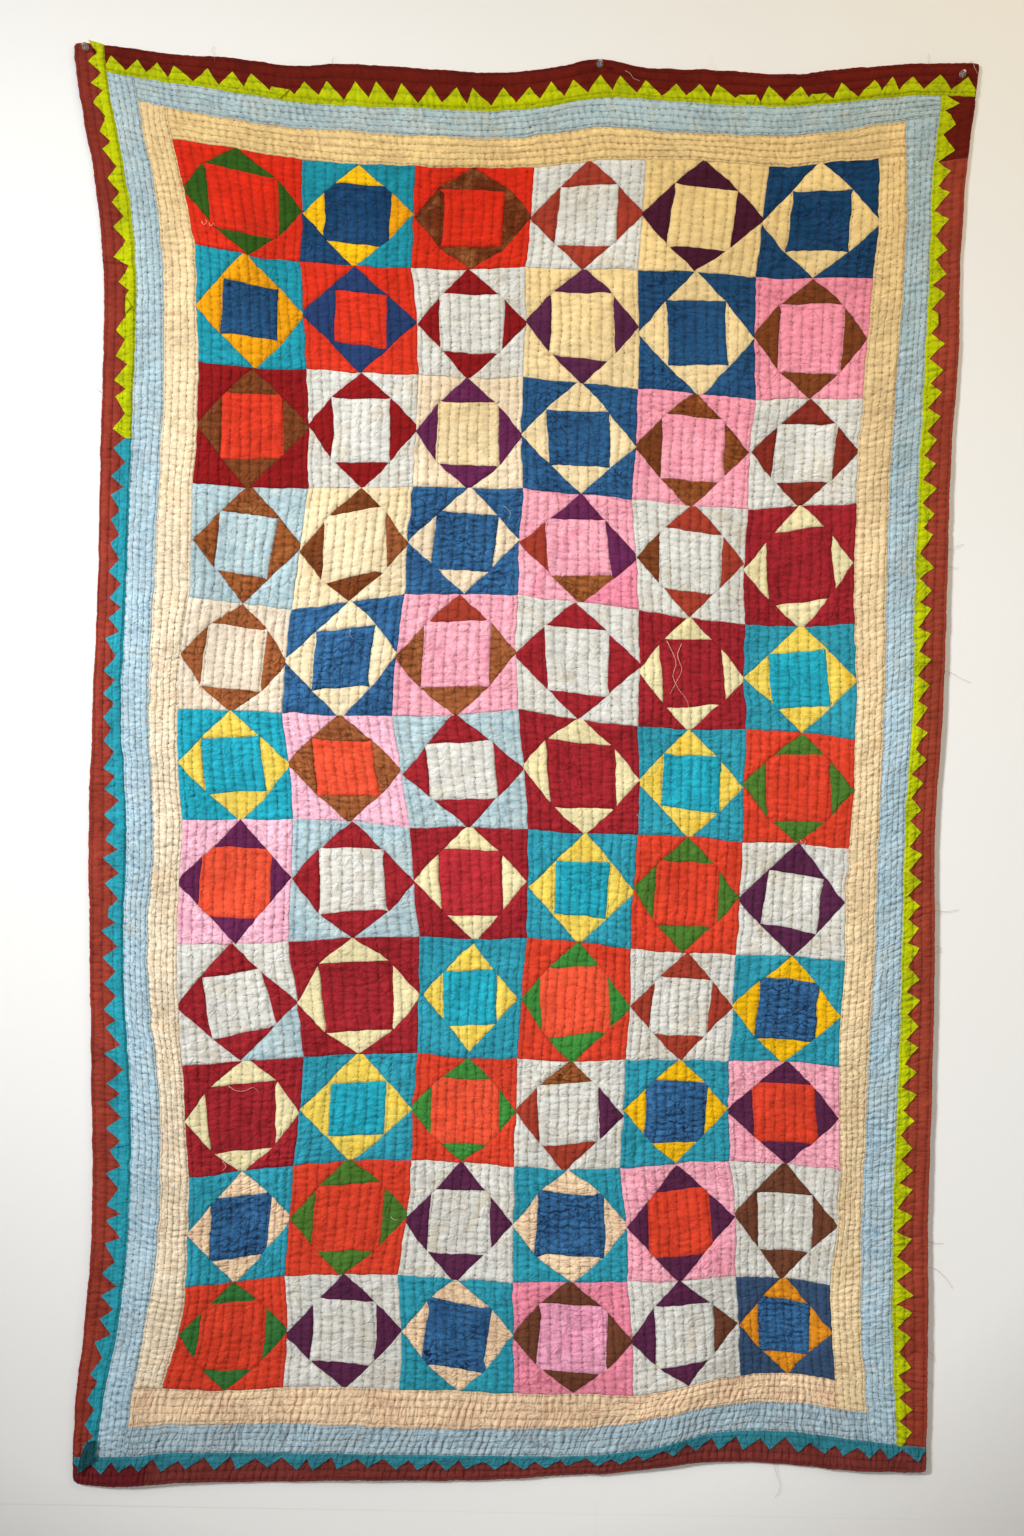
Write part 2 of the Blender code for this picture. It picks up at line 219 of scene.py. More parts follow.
# Patches cut from another cloth than the rest of their diagonal, by the block's row and column
ODD_PATCHES = {
    (0, 0): dict(points="bottle"),
    (0, 1): dict(points="gold", right="amber", lower_left="blue"),
    (0, 3): dict(points="rust"),
    (0, 4): dict(points="aubergine"),
    (1, 0): dict(points="amber"),
    (1, 1): dict(points="navy"),
    (1, 2): dict(points="garnet"),
    (1, 5): dict(points="walnut"),
    (2, 0): dict(corners="garnet", points="walnut"),
    (2, 1): dict(points="garnet"),
    (2, 2): dict(points="plum", corners="shell"),
    (2, 4): dict(left="walnut"),
    (2, 5): dict(points="wine"),
    (3, 0): dict(corners="sky", points="brown", centre="sky"),
    (3, 1): dict(points="walnut", right="tan"),
    (3, 2): dict(points="shell"),
    (3, 3): dict(top="plum", left="rust", right="plum", lower_right="salmon"),
    (3, 4): dict(points="rust", left="walnut"),
    (4, 0): dict(corners="peach", points="tan", centre="peach"),
    (4, 2): dict(points="tan", top="rust"),
    (5, 0): dict(corners="teal", points="yellow", centre="teal"),
    (5, 1): dict(points="tan", corners="blush", centre="scarlet"),
    (5, 2): dict(corners="sky"),
    (6, 0): dict(points="plum", corners="blush", centre="scarlet"),
    (6, 1): dict(corners="sky"),
    (6, 2): dict(centre="crimson"),
    (7, 0): dict(lower_right="sky"),
    (7, 3): dict(centre="scarlet", points="leaf"),
    (7, 4): dict(points="rust"),
    (7, 5): dict(points="gold"),
    (8, 2): dict(centre="scarlet", points="leaf"),
    (8, 3): dict(points="rust", top="brown", right="purple"),
    (8, 4): dict(points="gold"),
    (9, 0): dict(points="apricot", centre="blue"),
    (9, 3): dict(points="apricot"),
    (10, 0): dict(points="fern"),
    (10, 2): dict(points="apricot"),
    (10, 3): dict(points="umber", centre="rose", corners="salmon"),
    (10, 4): dict(points="purple", right="umber"),
    (10, 5): dict(corners="slate"),
}

# Each block's inner square: how far it is turned, in degrees clockwise, how wide and how tall it is and how
# far the diamond round it bows outwards, in hundredths of the block
INNERS = [
    [(4, 59, 59, 5), (3, 59, 58, 1), (0, 51, 56, 6), (1, 53, 56, 1), (4, 52, 55, 1), (2, 52, 52, 2)],
    [(3, 51, 47, 1), (5, 46, 49, 0), (2, 59, 54, 1), (0, 56, 58, 2), (-4, 50, 53, 1), (2, 57, 58, 4)],
    [(-3, 55, 54, 1), (-1, 53, 55, 2), (-1, 58, 57, 3), (-3, 54, 49, 1), (-2, 55, 57, 1), (3, 56, 54, 1)],
    [(4, 51, 52, 0), (-8, 59, 57, 3), (3, 55, 54, 0), (-5, 53, 52, 0), (2, 57, 54, 1), (-6, 60, 60, 2)],
    [(2, 57, 58, 4), (-2, 51, 52, 1), (0, 56, 54, 2), (-1, 51, 56, 1), (-5, 59, 60, 1), (-6, 52, 52, 0)],
    [(-4, 54, 50, 1), (-1, 54, 52, 1), (0, 55, 51, 0), (-2, 59, 58, 3), (2, 55, 50, 0), (-6, 58, 60, 3)],
    [(2, 63, 57, 0), (-4, 53, 54, 3), (2, 55, 59, 1), (0, 50, 50, 0), (-1, 60, 55, 2), (6, 52, 48, 0)],
    [(-7, 54, 51, 0), (0, 58, 59, 5), (-5, 52, 46, 0), (-7, 63, 57, 2), (4, 56, 53, 0), (2, 55, 57, 1)],
    [(-3, 59, 61, 4), (-2, 49, 50, 0), (-2, 66, 62, 3), (-6, 56, 56, 1), (4, 58, 59, 1), (-1, 57, 58, 1)],
    [(-1, 58, 56, 1), (-1, 59, 59, 2), (-2, 57, 55, 0), (5, 61, 54, 4), (1, 58, 56, 0), (-1, 54, 50, 0)],
    [(0, 61, 62, 2), (4, 56, 56, 1), (11, 55, 58, 3), (5, 57, 60, 3), (0, 55, 56, 1), (3, 54, 55, 0)],
]
SMALL_DIAMOND = (7, 2)  # the row and column of the block whose diamond stops short of its sides

# Borders: rows of stitches, how high the ribs across them stand, a seed, and the names of slot and thread
Border = namedtuple("Border", "rows ribs seed slot thread")
BORDER_KINDS = {
    "cream": Border(5, 0.45, 20, "cream cotton", "red_thread"),
    "blue": Border(5, 0.6, 25, "light blue cotton", "thread"),
    "maroon": Border(4, 0.35, 30, "maroon cotton", "thread"),
}
BORDER_SIDES = ("left", "top", "right", "bottom")
ROW_INSET = 3.2  # from a border's seam to its first row of stitches

# Straight pieces of the borders: the flat rectangle that each covers, and its dye
Strip = namedtuple("Strip", "name left top right bottom dye")
LEFT_JOIN, RIGHT_JOIN, BOTTOM_JOIN = 328, 150, 136
STRIPS = [
    Strip("cream_border_left", A[2], D[2], A[3], D[4], "bleached"),
    Strip("cream_border_top", A[3], D[2], A[5], D[3], "golden"),
    Strip("cream_border_right", A[4], D[3], A[5], D[5], "buff"),
    Strip("cream_border_bottom", A[2], D[4], A[4], D[5], "apricot"),
    Strip("blue_border_left", A[1], D[1], A[2], D[6], "pale_blue"),
    Strip("blue_border_top", A[2], D[1], A[6], D[2], "grey_blue"),
    Strip("blue_border_right", A[5], D[2], A[6], D[6], "pale_blue"),
    Strip("blue_border_bottom", A[2], D[5], A[5], D[6], "dull_blue"),
    Strip("maroon_border_left_upper", A[0], D[0], A[1], LEFT_JOIN, "brick"),
    Strip("maroon_border_left_lower", A[0], LEFT_JOIN, A[1], D[6], "brick"),
    Strip("maroon_border_top", A[1], D[0], A[7], D[1], "oxblood"),
    Strip("maroon_border_right_upper", A[6], D[1], A[7], RIGHT_JOIN, "oxblood"),
    Strip("maroon_border_right_lower", A[6], RIGHT_JOIN, A[7], D[6], "russet"),
    Strip("maroon_border_bottom", BOTTOM_JOIN, D[6], A[7], D[7], "old_maroon"),
    Strip("maroon_border_bottom_corner", A[0], D[6], BOTTOM_JOIN, D[7], "damson"),
]
CORNER_RADII = {(0, 0): 5, (1, 0): 4, (0, 1): 14, (1, 1): 5}  # by whether the corner is right, and low

# Sawtooth strips, in millimetres: where each starts and ends along its seam, its plain band and its reach
Sawtooth = namedtuple("Sawtooth", "name start end teeth seam side band reach dye")
TEAL_START = 577
SAWTEETH = [
    Sawtooth("left_lime", -21, TEAL_START, 17, "left", -1, 10, 27, "lime"),
    Sawtooth("left_teal", TEAL_START, TALL - MAROON, 42, "left", -1, 10, 27, "lagoon"),
    Sawtooth("top_lime", MAROON, WIDE, 36, "top", -1, 7, 27, "lime"),
    Sawtooth("right_lime", MAROON, TALL - MAROON, 56, "right", 1, 6, 24, "lime"),
    Sawtooth("bottom_teal", 0, WIDE, 35, "bottom", 1, 8, 25, "dull_teal"),
]

# Teeth that have come loose, by strip and tooth: how much of the reach is left flat before the tip turns
# back over itself, or is missing where the tooth is blunt
LOOSE_TEETH = {
    "top_lime": {7: 0.5, 26: 0.48, 29: 0.55},
    "left_lime": {11: 0.62},
    "right_lime": {9: 0.6},
    "left_teal": {19: 0.72},
}
BLUNT_TOOTH = ("left_teal", 19)

# The teal strip's end at the bottom left corner, folded over on itself into a leaf: across and down
FOLDED_END = [(27, 2003), (20, 2016), (14, 2033), (9, 2056), (25, 2043), (43, 2031), (43, 2001)]

# Loose strands of thread: each one's dye, and its way in millimetres from the middle pin
STRANDS = [
    ("brown", [(509, -714), (519, -710), (527, -706), (535, -704)]),
    ("brown", [(510, -737), (518, -739), (527, -739)]),
    ("brown", [(505, -891), (516, -893), (526, -899), (545, -908)]),
    ("brown", [(490, -1241), (505, -1244), (516, -1243), (528, -1241)]),
    ("brown", [(490, -1228), (496, -1231), (500, -1235)]),
    ("brown", [(488, -1296), (497, -1295), (500, -1299), (495, -1303), (503, -1304)]),
    ("brown", [(478, -1728), (492, -1731), (506, -1732)]),
    ("brown", [(477, -1765), (491, -1768), (502, -1777), (511, -1787), (519, -1798)]),
    ("brown", [(479, -1889), (488, -1894), (493, -1907)]),
    ("brown", [(479, -1935), (486, -1937), (490, -1941)]),
    ("brown", [(482, -2), (484, 8), (483, 17)]),
    ("umber", [(536, -2), (541, 2), (546, 5), (549, 5)]),
    ("peach", [(549, 1), (550, -5), (552, -9), (555, -15)]),
    ("brown", [(-565, 2), (-566, 14), (-570, 22), (-566, 28)]),
    ("brown", [(-390, -4), (-393, 5), (-391, 12)]),
    ("golden", [(171, -12), (166, -1), (163, 7), (164, 16)]),
    ("umber", [(253, -2050), (257, -2060), (261, -2074), (265, -2086), (263, -2097), (257, -2105)]),
    ("shell", [(37, -9), (44, -13), (50, -21), (59, -24)]),
    ("brown", [(-724, -486), (-733, -481), (-741, -474)]),
    ("shell", [(-584, -232), (-580, -237), (-576, -232), (-578, -229)]),
    ("shell", [(-573, -234), (-570, -239), (-566, -235), (-564, -238)]),
    ("red", [(-611, -158), (-617, -157), (-621, -162)]),
    ("red", [(-609, -165), (-617, -166), (-622, -172)]),
    ("red", [(-610, -170), (-616, -173), (-619, -180)]),
    ("red", [(-608, -176), (-614, -180), (-614, -188)]),
    ("red", [(-606, -182), (-609, -187), (-606, -191)]),
    ("green", [(-605, -172), (-612, -176), (-618, -176)]),
    ("grey", [(-372, -824), (-366, -830), (-367, -837), (-361, -845)]),
    ("grey", [(-142, -648), (-136, -652), (-131, -660), (-134, -668)]),
    ("cream", [(98, -846), (106, -862), (112, -880), (107, -898), (116, -918), (128, -934), (131, -953)]),
    ("cream", [(120, -850), (114, -868), (120, -888), (113, -905), (103, -924)]),
    ("grey", [(-545, -1500), (-535, -1506), (-522, -1507), (-509, -1502), (-500, -1509)]),
    ("grey", [(-554, -1610), (-549, -1617), (-553, -1624)]),
    ("grey", [(54, -1101), (59, -1106), (67, -1109)]),
    ("grey", [(294, -1138), (297, -1143), (302, -1147)]),
    ("grey", [(302, -1140), (300, -1145), (296, -1149)]),
    ("yellow", [(326, -846), (331, -851), (337, -853)]),
    ("yellow", [(325, -850), (331, -856), (335, -861)]),
    ("yellow", [(323, -853), (327, -859), (329, -865)]),
    ("blue", [(402, -309), (409, -312), (416, -311)]),
    ("blue", [(396, -312), (404, -316), (411, -320)]),
    ("blue", [(378, -312), (384, -317), (391, -318)]),
    ("grey", [(-307, -1692), (-301, -1696), (-294, -1696)]),
    ("maroon", [(-384, -1300), (-378, -1306), (-370, -1305)]),
]

# Push pins: where each needle is, in millimetres from the middle one
Pin = namedtuple("Pin", "name across height")
PINS = [Pin("left", -755, 25), Pin("middle", 0, 0), Pin("right", 532, -15)]
PIN_REACH = 130  # how far from a pin the cloth is still drawn to the wall

# A turned outline is a list of radius and distance along the pin, in millimetres.
HEAD_OUTLINE = [(0, 0), (4.7, 0), (5.1, 0.12), (5.2, 0.45), (5.1, 0.8), (4.5, 1.15), (3.6, 1.7), (2.9, 2.6)]
HEAD_OUTLINE += [(2.55, 4.2), (2.55, 6.2), (2.9, 7.8), (3.5, 9.1), (3.95, 9.9), (4.0, 10.5), (3.8, 11.0)]
HEAD_OUTLINE += [(3.2, 11.25), (1.6, 11.38), (0, 11.4)]
NEEDLE_OUTLINE = [(0, -7.5), (0.55, -7.4), (0.55, 9.0), (0.3, 11.0), (0.08, 12.5), (0, 12.6)]
HEAD_SIDES, NEEDLE_SIDES = 40, 16
NEEDLE_GAP = 0.3  # from the front of a needle's blunt end to the back of its head


# Sizes and colours


def linear(code):
    """A hex colour as linear red, green and blue."""
    parts = [int(code[i : i + 2], 16) / 255 for i in (1, 3, 5)]
    return [p / 12.92 if p <= 0.04045 else ((p + 0.055) / 1.055) ** 2.4 for p in parts]


def dye(name, description, code):
    return FloatVectorProperty(
        name=name, description=description, default=linear(code), subtype="COLOR", size=3, min=0, max=1
    )


def length(name, description, default):
    return FloatProperty(name=name, description=description, default=default, min=0, unit="LENGTH")


class QuiltSizes(bpy.types.PropertyGroup):
    cloth: length("Cloth", "Thickness of the quilted layers", 0.0036)
    mesh_step: length("Mesh step", "Spacing of the cloth's mesh", 0.0034)
    back_step: length("Back mesh step", "Spacing of the mesh on the back", 0.008)
    row_spacing: length("Row spacing", "Distance between rows of running stitches", 0.01485)
    stitch_pitch: length("Stitch pitch", "Distance from one stitch to the next in its row", 0.0102)
    stitch_length: length("Stitch length", "Length of thread that shows in each stitch", 0.0023)
    stitch_width: length("Stitch width", "Width of the thread", 0.0008)
    puff: length("Puff", "How far the cloth stands up between rows of stitches", 0.0011)
    gather: length("Gather", "How deep the puckers across the rows are", 0.0006)
    seam_depth: length("Seam depth", "How far the cloth is drawn in along a seam", 0.0007)
    applique: length("Applique", "Thickness of a sawtooth strip", 0.0009)
    strand_width: length("Strand width", "Width of a loose strand of thread", 0.0005)


class QuiltColours(bpy.types.PropertyGroup):
    red: dye("Red", "Red-orange patches", "#DE432B")
    scarlet: dye("Scarlet", "Brighter red patches", "#F1583A")
    green: dye("Green", "Green points", "#4B782C")
    bottle: dye("Bottle green", "Dark green points", "#315A17")
    leaf: dye("Leaf green", "Cooler green points", "#3E8B3A")
    fern: dye("Fern green", "Green points at the bottom left", "#357536")
    teal: dye("Teal", "Teal patches", "#24ADC5")
    faded_teal: dye("Faded teal", "Duller teal corners", "#31A0B7")
    yellow: dye("Yellow", "Yellow points", "#F1D55E")
    gold: dye("Gold", "Deeper yellow points", "#F7BF0F")
    amber: dye("Amber", "Orange-yellow points", "#EA9F0C")
    orange: dye("Orange", "Orange points", "#E08E1F")
    blue: dye("Blue", "Blue patches", "#386EA1")
    slate: dye("Slate", "Blue corners at the bottom right", "#364F70")
    navy: dye("Navy", "Navy points", "#243C6A")
    maroon: dye("Maroon", "Maroon patches", "#A4252E")
    garnet: dye("Garnet", "Darker maroon patches", "#8E1417")
    crimson: dye("Crimson", "Brighter maroon patches", "#B42B34")
    wine: dye("Wine", "Dark maroon points", "#832B20")
    brown: dye("Brown", "Brown points", "#9B562A")
    walnut: dye("Walnut", "Darker brown points", "#7E421F")
    tan: dye("Tan", "Lighter brown points", "#A86238")
    umber: dye("Umber", "Dark brown points", "#6E402C")
    rust: dye("Rust", "Rust points", "#A43C2B")
    purple: dye("Purple", "Purple points", "#592648")
    plum: dye("Plum", "Lighter purple points", "#652551")
    aubergine: dye("Aubergine", "Darker purple points", "#48172D")
    grey: dye("Off-white", "Off-white patches", "#DDDDD7")
    sky: dye("Sky", "Sky blue patches", "#B3CACF")
    cream: dye("Cream", "Cream patches", "#F5E3BE")
    shell: dye("Shell", "Paler cream patches", "#F1DCBD")
    peach: dye("Peach", "Peach patches", "#EBDCC7")
    pink: dye("Pink", "Pink patches", "#FFB5C6")
    blush: dye("Blush", "Paler pink corners", "#FFC6DB")
    salmon: dye("Salmon", "Pink corners at the bottom", "#F692AB")
    rose: dye("Rose", "Deeper pink patches", "#FFB2D0")
    primrose: dye("Primrose", "Pale yellow points", "#ECE0B1")
    golden: dye("Golden cream", "Cream border", "#EFD092")
    buff: dye("Buff", "Cream border at the right", "#F3DBB0")
    bleached: dye("Bleached cream", "Cream border at the left", "#F4E5CA")
    apricot: dye("Apricot cream", "Cream border at the bottom", "#FADDB8")
    pale_blue: dye("Light blue", "Light blue border", "#B8D3E0")
    grey_blue: dye("Grey blue", "Light blue border at the top", "#B2C8CD")
    dull_blue: dye("Dull blue", "Light blue border at the bottom", "#B0C8D4")
    brick: dye("Brick", "Maroon border at the left", "#993B2D")
    oxblood: dye("Oxblood", "Maroon border at the top", "#6A190D")
    russet: dye("Russet", "Maroon border at the right", "#9E412F")
    old_maroon: dye("Old maroon", "Maroon border at the bottom", "#7B332E")
    damson: dye("Damson", "Bottom left corner piece", "#6D1D22")
    lime: dye("Lime", "Lime sawtooth strips", "#C2CC00")
    lagoon: dye("Lagoon", "Teal sawtooth strips", "#2B9FB2")
    dull_teal: dye("Dull teal", "Teal sawtooth strip at the bottom", "#328697")
    deep_teal: dye("Deep teal", "Folded end of a sawtooth strip", "#185058")
    backing: dye("Back", "Plain cloth of the back", "#D8CBB4")
    thread: dye("Thread", "Quilting thread", "#453636")
    red_thread: dye("Red thread", "Thread in the cream borders", "#84442C")


def sized(name):
    """One of the quilt's sizes, in millimetres."""
    return getattr(bpy.context.scene.quilt_sizes, name) / MM


def coloured(name):
    """One of the quilt's colours."""
    return tuple(getattr(bpy.context.scene.quilt_colours, name))


# Hanging


def ease(a, b, values):
    """0 up to a, 1 from b on, and a smooth run between them."""
    f = np.clip((values - a) / (b - a), 0, 1)
    return f * f * (3 - 2 * f)


def smooth_table(rows):
    """A table whose first column rises, as a function that runs smoothly through its rows."""
    table = np.array(sorted(rows), float)
    at, values = table[:, 0], table[:, 1:]
    slopes = np.gradient(values, at, axis=0)

    def read(places):
        k = np.clip(np.searchsorted(at, places) - 1, 0, len(at) - 2)
        wide = (at[k + 1] - at[k])[:, None]
        f = np.clip((places - at[k])[:, None] / wide, 0, 1)
        start = (1 + 2 * f) * (1 - f) ** 2 * values[k] + f * (1 - f) ** 2 * wide * slopes[k]
        end = f * f * (3 - 2 * f) * values[k + 1] + f * f * (f - 1) * wide * slopes[k + 1]
        return start + end

    return read


seams_at_height = smooth_table(LEVELS)
seams_at_place = smooth_table(STATIONS)


def between(places, marks, values):
    """Each place's own value between the marks, from its own row of values; it runs on past the ends."""
    k = np.clip(np.searchsorted(marks, places, side="right") - 1, 0, len(marks) - 2)
    f = (places - marks[k]) / (marks[k + 1] - marks[k])
    own = np.arange(len(places))
    return (1 - f) * values[own, k] + f * values[own, k + 1]


def settle(across, down):
    """Where flat places hang as seen from the front, before the blocks pull them: x and z in mm."""
    x, z = across - WIDE / 2, -down
    for _ in range(6):
        x = between(across, A, seams_at_height(z))
        z = between(down, D, seams_at_place(x))
    return x, z


def corner_pulls():
    """How far each corner of the blocks is pulled from where an even quilt would settle."""
    column, row = np.meshgrid(np.arange(COLUMNS + 1), np.arange(ROWS + 1))
    x, z = settle(A[3] + column.ravel() * BLOCK_WIDE, D[3] + row.ravel() * BLOCK_TALL)
    seams = np.array(BLOCK_SEAMS, float)
    pull_x = seams[:, : COLUMNS + 1] - x.reshape(row.shape)
    pull_z = seams[:, COLUMNS + 1 :] - z.reshape(row.shape)
    return np.stack([pull_x, pull_z], axis=-1)


CORNER_PULLS = corner_pulls()


def pulled(across, down):
    """How far the blocks' corners pull flat places, easing off over the borders: x and z in mm."""
    beside = np.maximum(A[3] - across, across - A[4])
    beyond = np.maximum(D[3] - down, down - D[4])
    hold_x = (1 - ease(0, CREAM, beside)) * (1 - ease(0, BORDERS, beyond))
    hold_z = (1 - ease(0, CREAM, beyond)) * (1 - ease(0, BORDERS, beside))
    column = np.clip((across - A[3]) / BLOCK_WIDE, 0, COLUMNS - 1e-6)
    row = np.clip((down - D[3]) / BLOCK_TALL, 0, ROWS - 1e-6)
    i, j = column.astype(int), row.astype(int)
    f, g = column - i, row - j
    fs, gs = f[:, None], g[:, None]
    upper, lower = ((1 - fs) * CORNER_PULLS[k, i] + fs * CORNER_PULLS[k, i + 1] for k in (j, j + 1))
    pull_x, pull_z = ((1 - gs) * upper + gs * lower).T
    bent = np.random.default_rng(77).uniform(-SEAM_BEND, SEAM_BEND, (2, ROWS + 1, COLUMNS + 1))
    swing = (1 - 2 * np.clip(f, 0, 0.5)) * bent[0, j, i] + (2 * np.clip(f, 0.5, 1) - 1) * bent[0, j, i + 1]
    sway = (1 - 2 * np.clip(g, 0, 0.5)) * bent[1, j, i] + (2 * np.clip(g, 0.5, 1) - 1) * bent[1, j + 1, i]
    pull_x = pull_x + swing * np.sin(np.pi * g) ** 2
    return pull_x * hold_x, (pull_z + sway * np.sin(np.pi * f) ** 2) * hold_z


def uneven(x, y, seed):
    """Smooth unevenness from -1 to 1, with lumps about one unit wide."""
    size = 128
    lumps = np.random.default_rng(seed).uniform(-1, 1, (size, size))
    i, j = np.floor(x).astype(int), np.floor(y).astype(int)
    f, g = ease(0, 1, x - i), ease(0, 1, y - j)
    i0, i1, j0, j1 = i % size, (i + 1) % size, j % size, (j + 1) % size
    near = (1 - f) * lumps[i0, j0] + f * lumps[i1, j0]
    far = (1 - f) * lumps[i0, j1] + f * lumps[i1, j1]
    return (1 - g) * near + g * far


def stand_off(x, z):
    """How far the folds stand off the wall, in millimetres."""
    off = np.zeros_like(x)
    for fold in FOLDS:
        side = np.clip(np.abs(x - fold.middle) / fold.half_width, 0, 1)
        swell = 0.5 + 0.5 * np.cos(np.pi * side)
        run = 0.3 * (fold.top - fold.bottom)
        rise = fold.rise * ease(fold.bottom, fold.bottom + run, z)
        off += rise * swell * (1 - ease(fold.top - run, fold.top, z))
    for pin in PINS:
        off *= ease(0, PIN_REACH, np.hypot(x - pin.across, z - pin.height))
    return off


def from_edge(across, down):
    """How far flat places are from the quilt's nearest edge."""
    return np.minimum.reduce([across, WIDE - across, down, TALL - down])


def round_corners(across, down):
    """Flat places with the quilt's corners rounded off, the bottom left one the most."""
    for (right, low), radius in CORNER_RADII.items():
        out_a = across - (WIDE - radius) if right else radius - across
        out_d = down - (TALL - radius) if low else radius - down
        corner = (out_a > 0) & (out_d > 0)
        far = np.where(corner, np.maximum(out_a, out_d) / np.maximum(np.hypot(out_a, out_d), 1e-6), 1)
        across = across + (1 if right else -1) * out_a * (far - 1)
        down = down + (1 if low else -1) * out_d * (far - 1)
    return across, down


def hang(across, down, lift):
    """Where flat places hang, in metres, lift millimetres proud of the quilt's smooth face.

    The maroon border is stiff with its turned edge, so it stands off the wall as its seam does, and the
    quilt lies closer to the wall towards its edges.
    """
    across, down = round_corners(across, down)
    x, z = settle(across, down)
    pull_x, pull_z = pulled(across, down)
    seam_x, seam_z = settle(np.clip(across, MAROON, WIDE - MAROON), np.clip(down, MAROON, TALL - MAROON))
    edge = from_edge(across, down)
    loose = 0.5 + 0.5 * ease(0, 60, edge)
    wander_x = 1.4 * uneven(across / 31, down / 23, 11) + 0.8 * uneven(across / 9, down / 8, 13)
    wander_z = 1.4 * uneven(across / 23, down / 31, 12) + 0.8 * uneven(across / 8, down / 9, 14)
    x, z = x + pull_x + wander_x * loose, z + pull_z + wander_z * loose
    off = OFF_WALL + stand_off(seam_x, seam_z) * (0.45 + 0.55 * ease(0, 90, edge))
    return np.stack([x, -(off + sized("cloth") + lift), z], axis=1) * MM


# Quilting


# A piece's rows of stitches: whether they run upright, where the first one is, how far apart they are, and
# how high the ribs stand that run across all of them
Quilting = namedtuple("Quilting", "upright first spacing seed ribs")


def field_quilting():
    spacing = sized("row_spacing")
    return Quilting(True, A[3] + spacing / 2, spacing, 1, 0.0)


def strip_quilting(strip):
    colour, _, side = strip.name.split("_")[:3]
    border, upright = BORDER_KINDS[colour], side in ("left", "right")
    start, end = (strip.left, strip.right) if upright else (strip.top, strip.bottom)
    spacing = (end - start - 2 * ROW_INSET) / (border.rows - 1)
    seed, ribs = border.seed + BORDER_SIDES.index(side), border.ribs * (0.6 if upright else 1.0)
    return Quilting(upright, start + ROW_INSET, spacing, seed, ribs)


def row_wander(over, along, quilting):
    return 2.0 * uneven(over / 60, along / 170, quilting.seed) + 0.8 * uneven(over / 9, along / 45, 3)


def row_phase(row, stitch):
    """How far one row's stitches are ahead of an even count. A material works out the same for its bumps."""
    jump = row * row * 0.618
    slow, quick = np.sin(0.21 * stitch + 2.4 * row), np.sin(0.9 * stitch + 4.1 * row)
    return jump - np.floor(jump) + 0.5 * slow + 0.2 * quick


def past_stitch(row, stitch):
    """How far places are past the middle of their stitch in that row, in millimetres."""
    count = stitch + row_phase(row, stitch)
    return (count - np.floor(count) - 0.5) * sized("stitch_pitch")


def quilting_place(across, down, quilting):
    """Each place's row and its count of stitches: whole numbers of the first are on a row."""
    along, over = (down, across) if quilting.upright else (across, down)
    row = (over - quilting.first + row_wander(over, along, quilting)) / quilting.spacing
    return row, along / sized("stitch_pitch")


def wave(count):
    """1 half way between whole numbers and 0 at them."""
    return 0.5 - 0.5 * np.cos(2 * np.pi * count)


def puckers(row, stitch, wide):
    """How deep each place is in the creases that every stitch draws across the cloth beside it, up to 1."""
    depth = 0
    for beside in (np.floor(row), np.floor(row) + 1):
        near = np.clip(1 - np.abs(row - beside), 0, 1)
        depth = depth + np.exp(-((past_stitch(beside, stitch) / wide) ** 2)) * near
    return depth


def stitch_places(quilting, left, top, right, bottom):
    """Flat places of both ends of each stitch in a rectangle, as two lists of across and down."""
    pitch, half = sized("stitch_pitch"), sized("stitch_length") / 2
    low, high = (left, right) if quilting.upright else (top, bottom)
    start, end = (top, bottom) if quilting.upright else (left, right)
    first_row = math.floor((low - quilting.first) / quilting.spacing)
    rows = np.arange(first_row, (high - low) / quilting.spacing + 2)
    steps = np.arange(start / pitch - 4, end / pitch + 4).round() + 0.5
    row, step = (grid.ravel() for grid in np.meshgrid(rows, steps))
    over, count = quilting.first + row * quilting.spacing, step
    for _ in range(8):
        count = step - row_phase(row, count)
        over = quilting.first + row * quilting.spacing - row_wander(over, count * pitch, quilting)
    along = count * pitch
    inside = (over > low + 1) & (over < high - 1) & (along > start + 2) & (along < end - 2)
    stray = np.random.default_rng(quilting.seed).uniform(-1, 1, (len(over), 3))
    kept = inside & (stray[:, 0] > -0.95)
    over, along, stray = over[kept], along[kept], stray[kept]
    reach = half * (1 + 0.35 * stray[:, 1])
    lean = 0.35 * stray[:, 2]
    ends = [(over - lean, along - reach), (over + lean, along + reach)]
    return [(o, a) if quilting.upright else (a, o) for o, a in ends]


def rib_phase(across, down, stitch):
    """The count of stitches by which the ribs across all the rows run: whole and a half where they dip."""
    return stitch + 0.45 * uneven(across / 24, down / 24, 41) + 0.14 * uneven(across / 8, down / 8, 42)


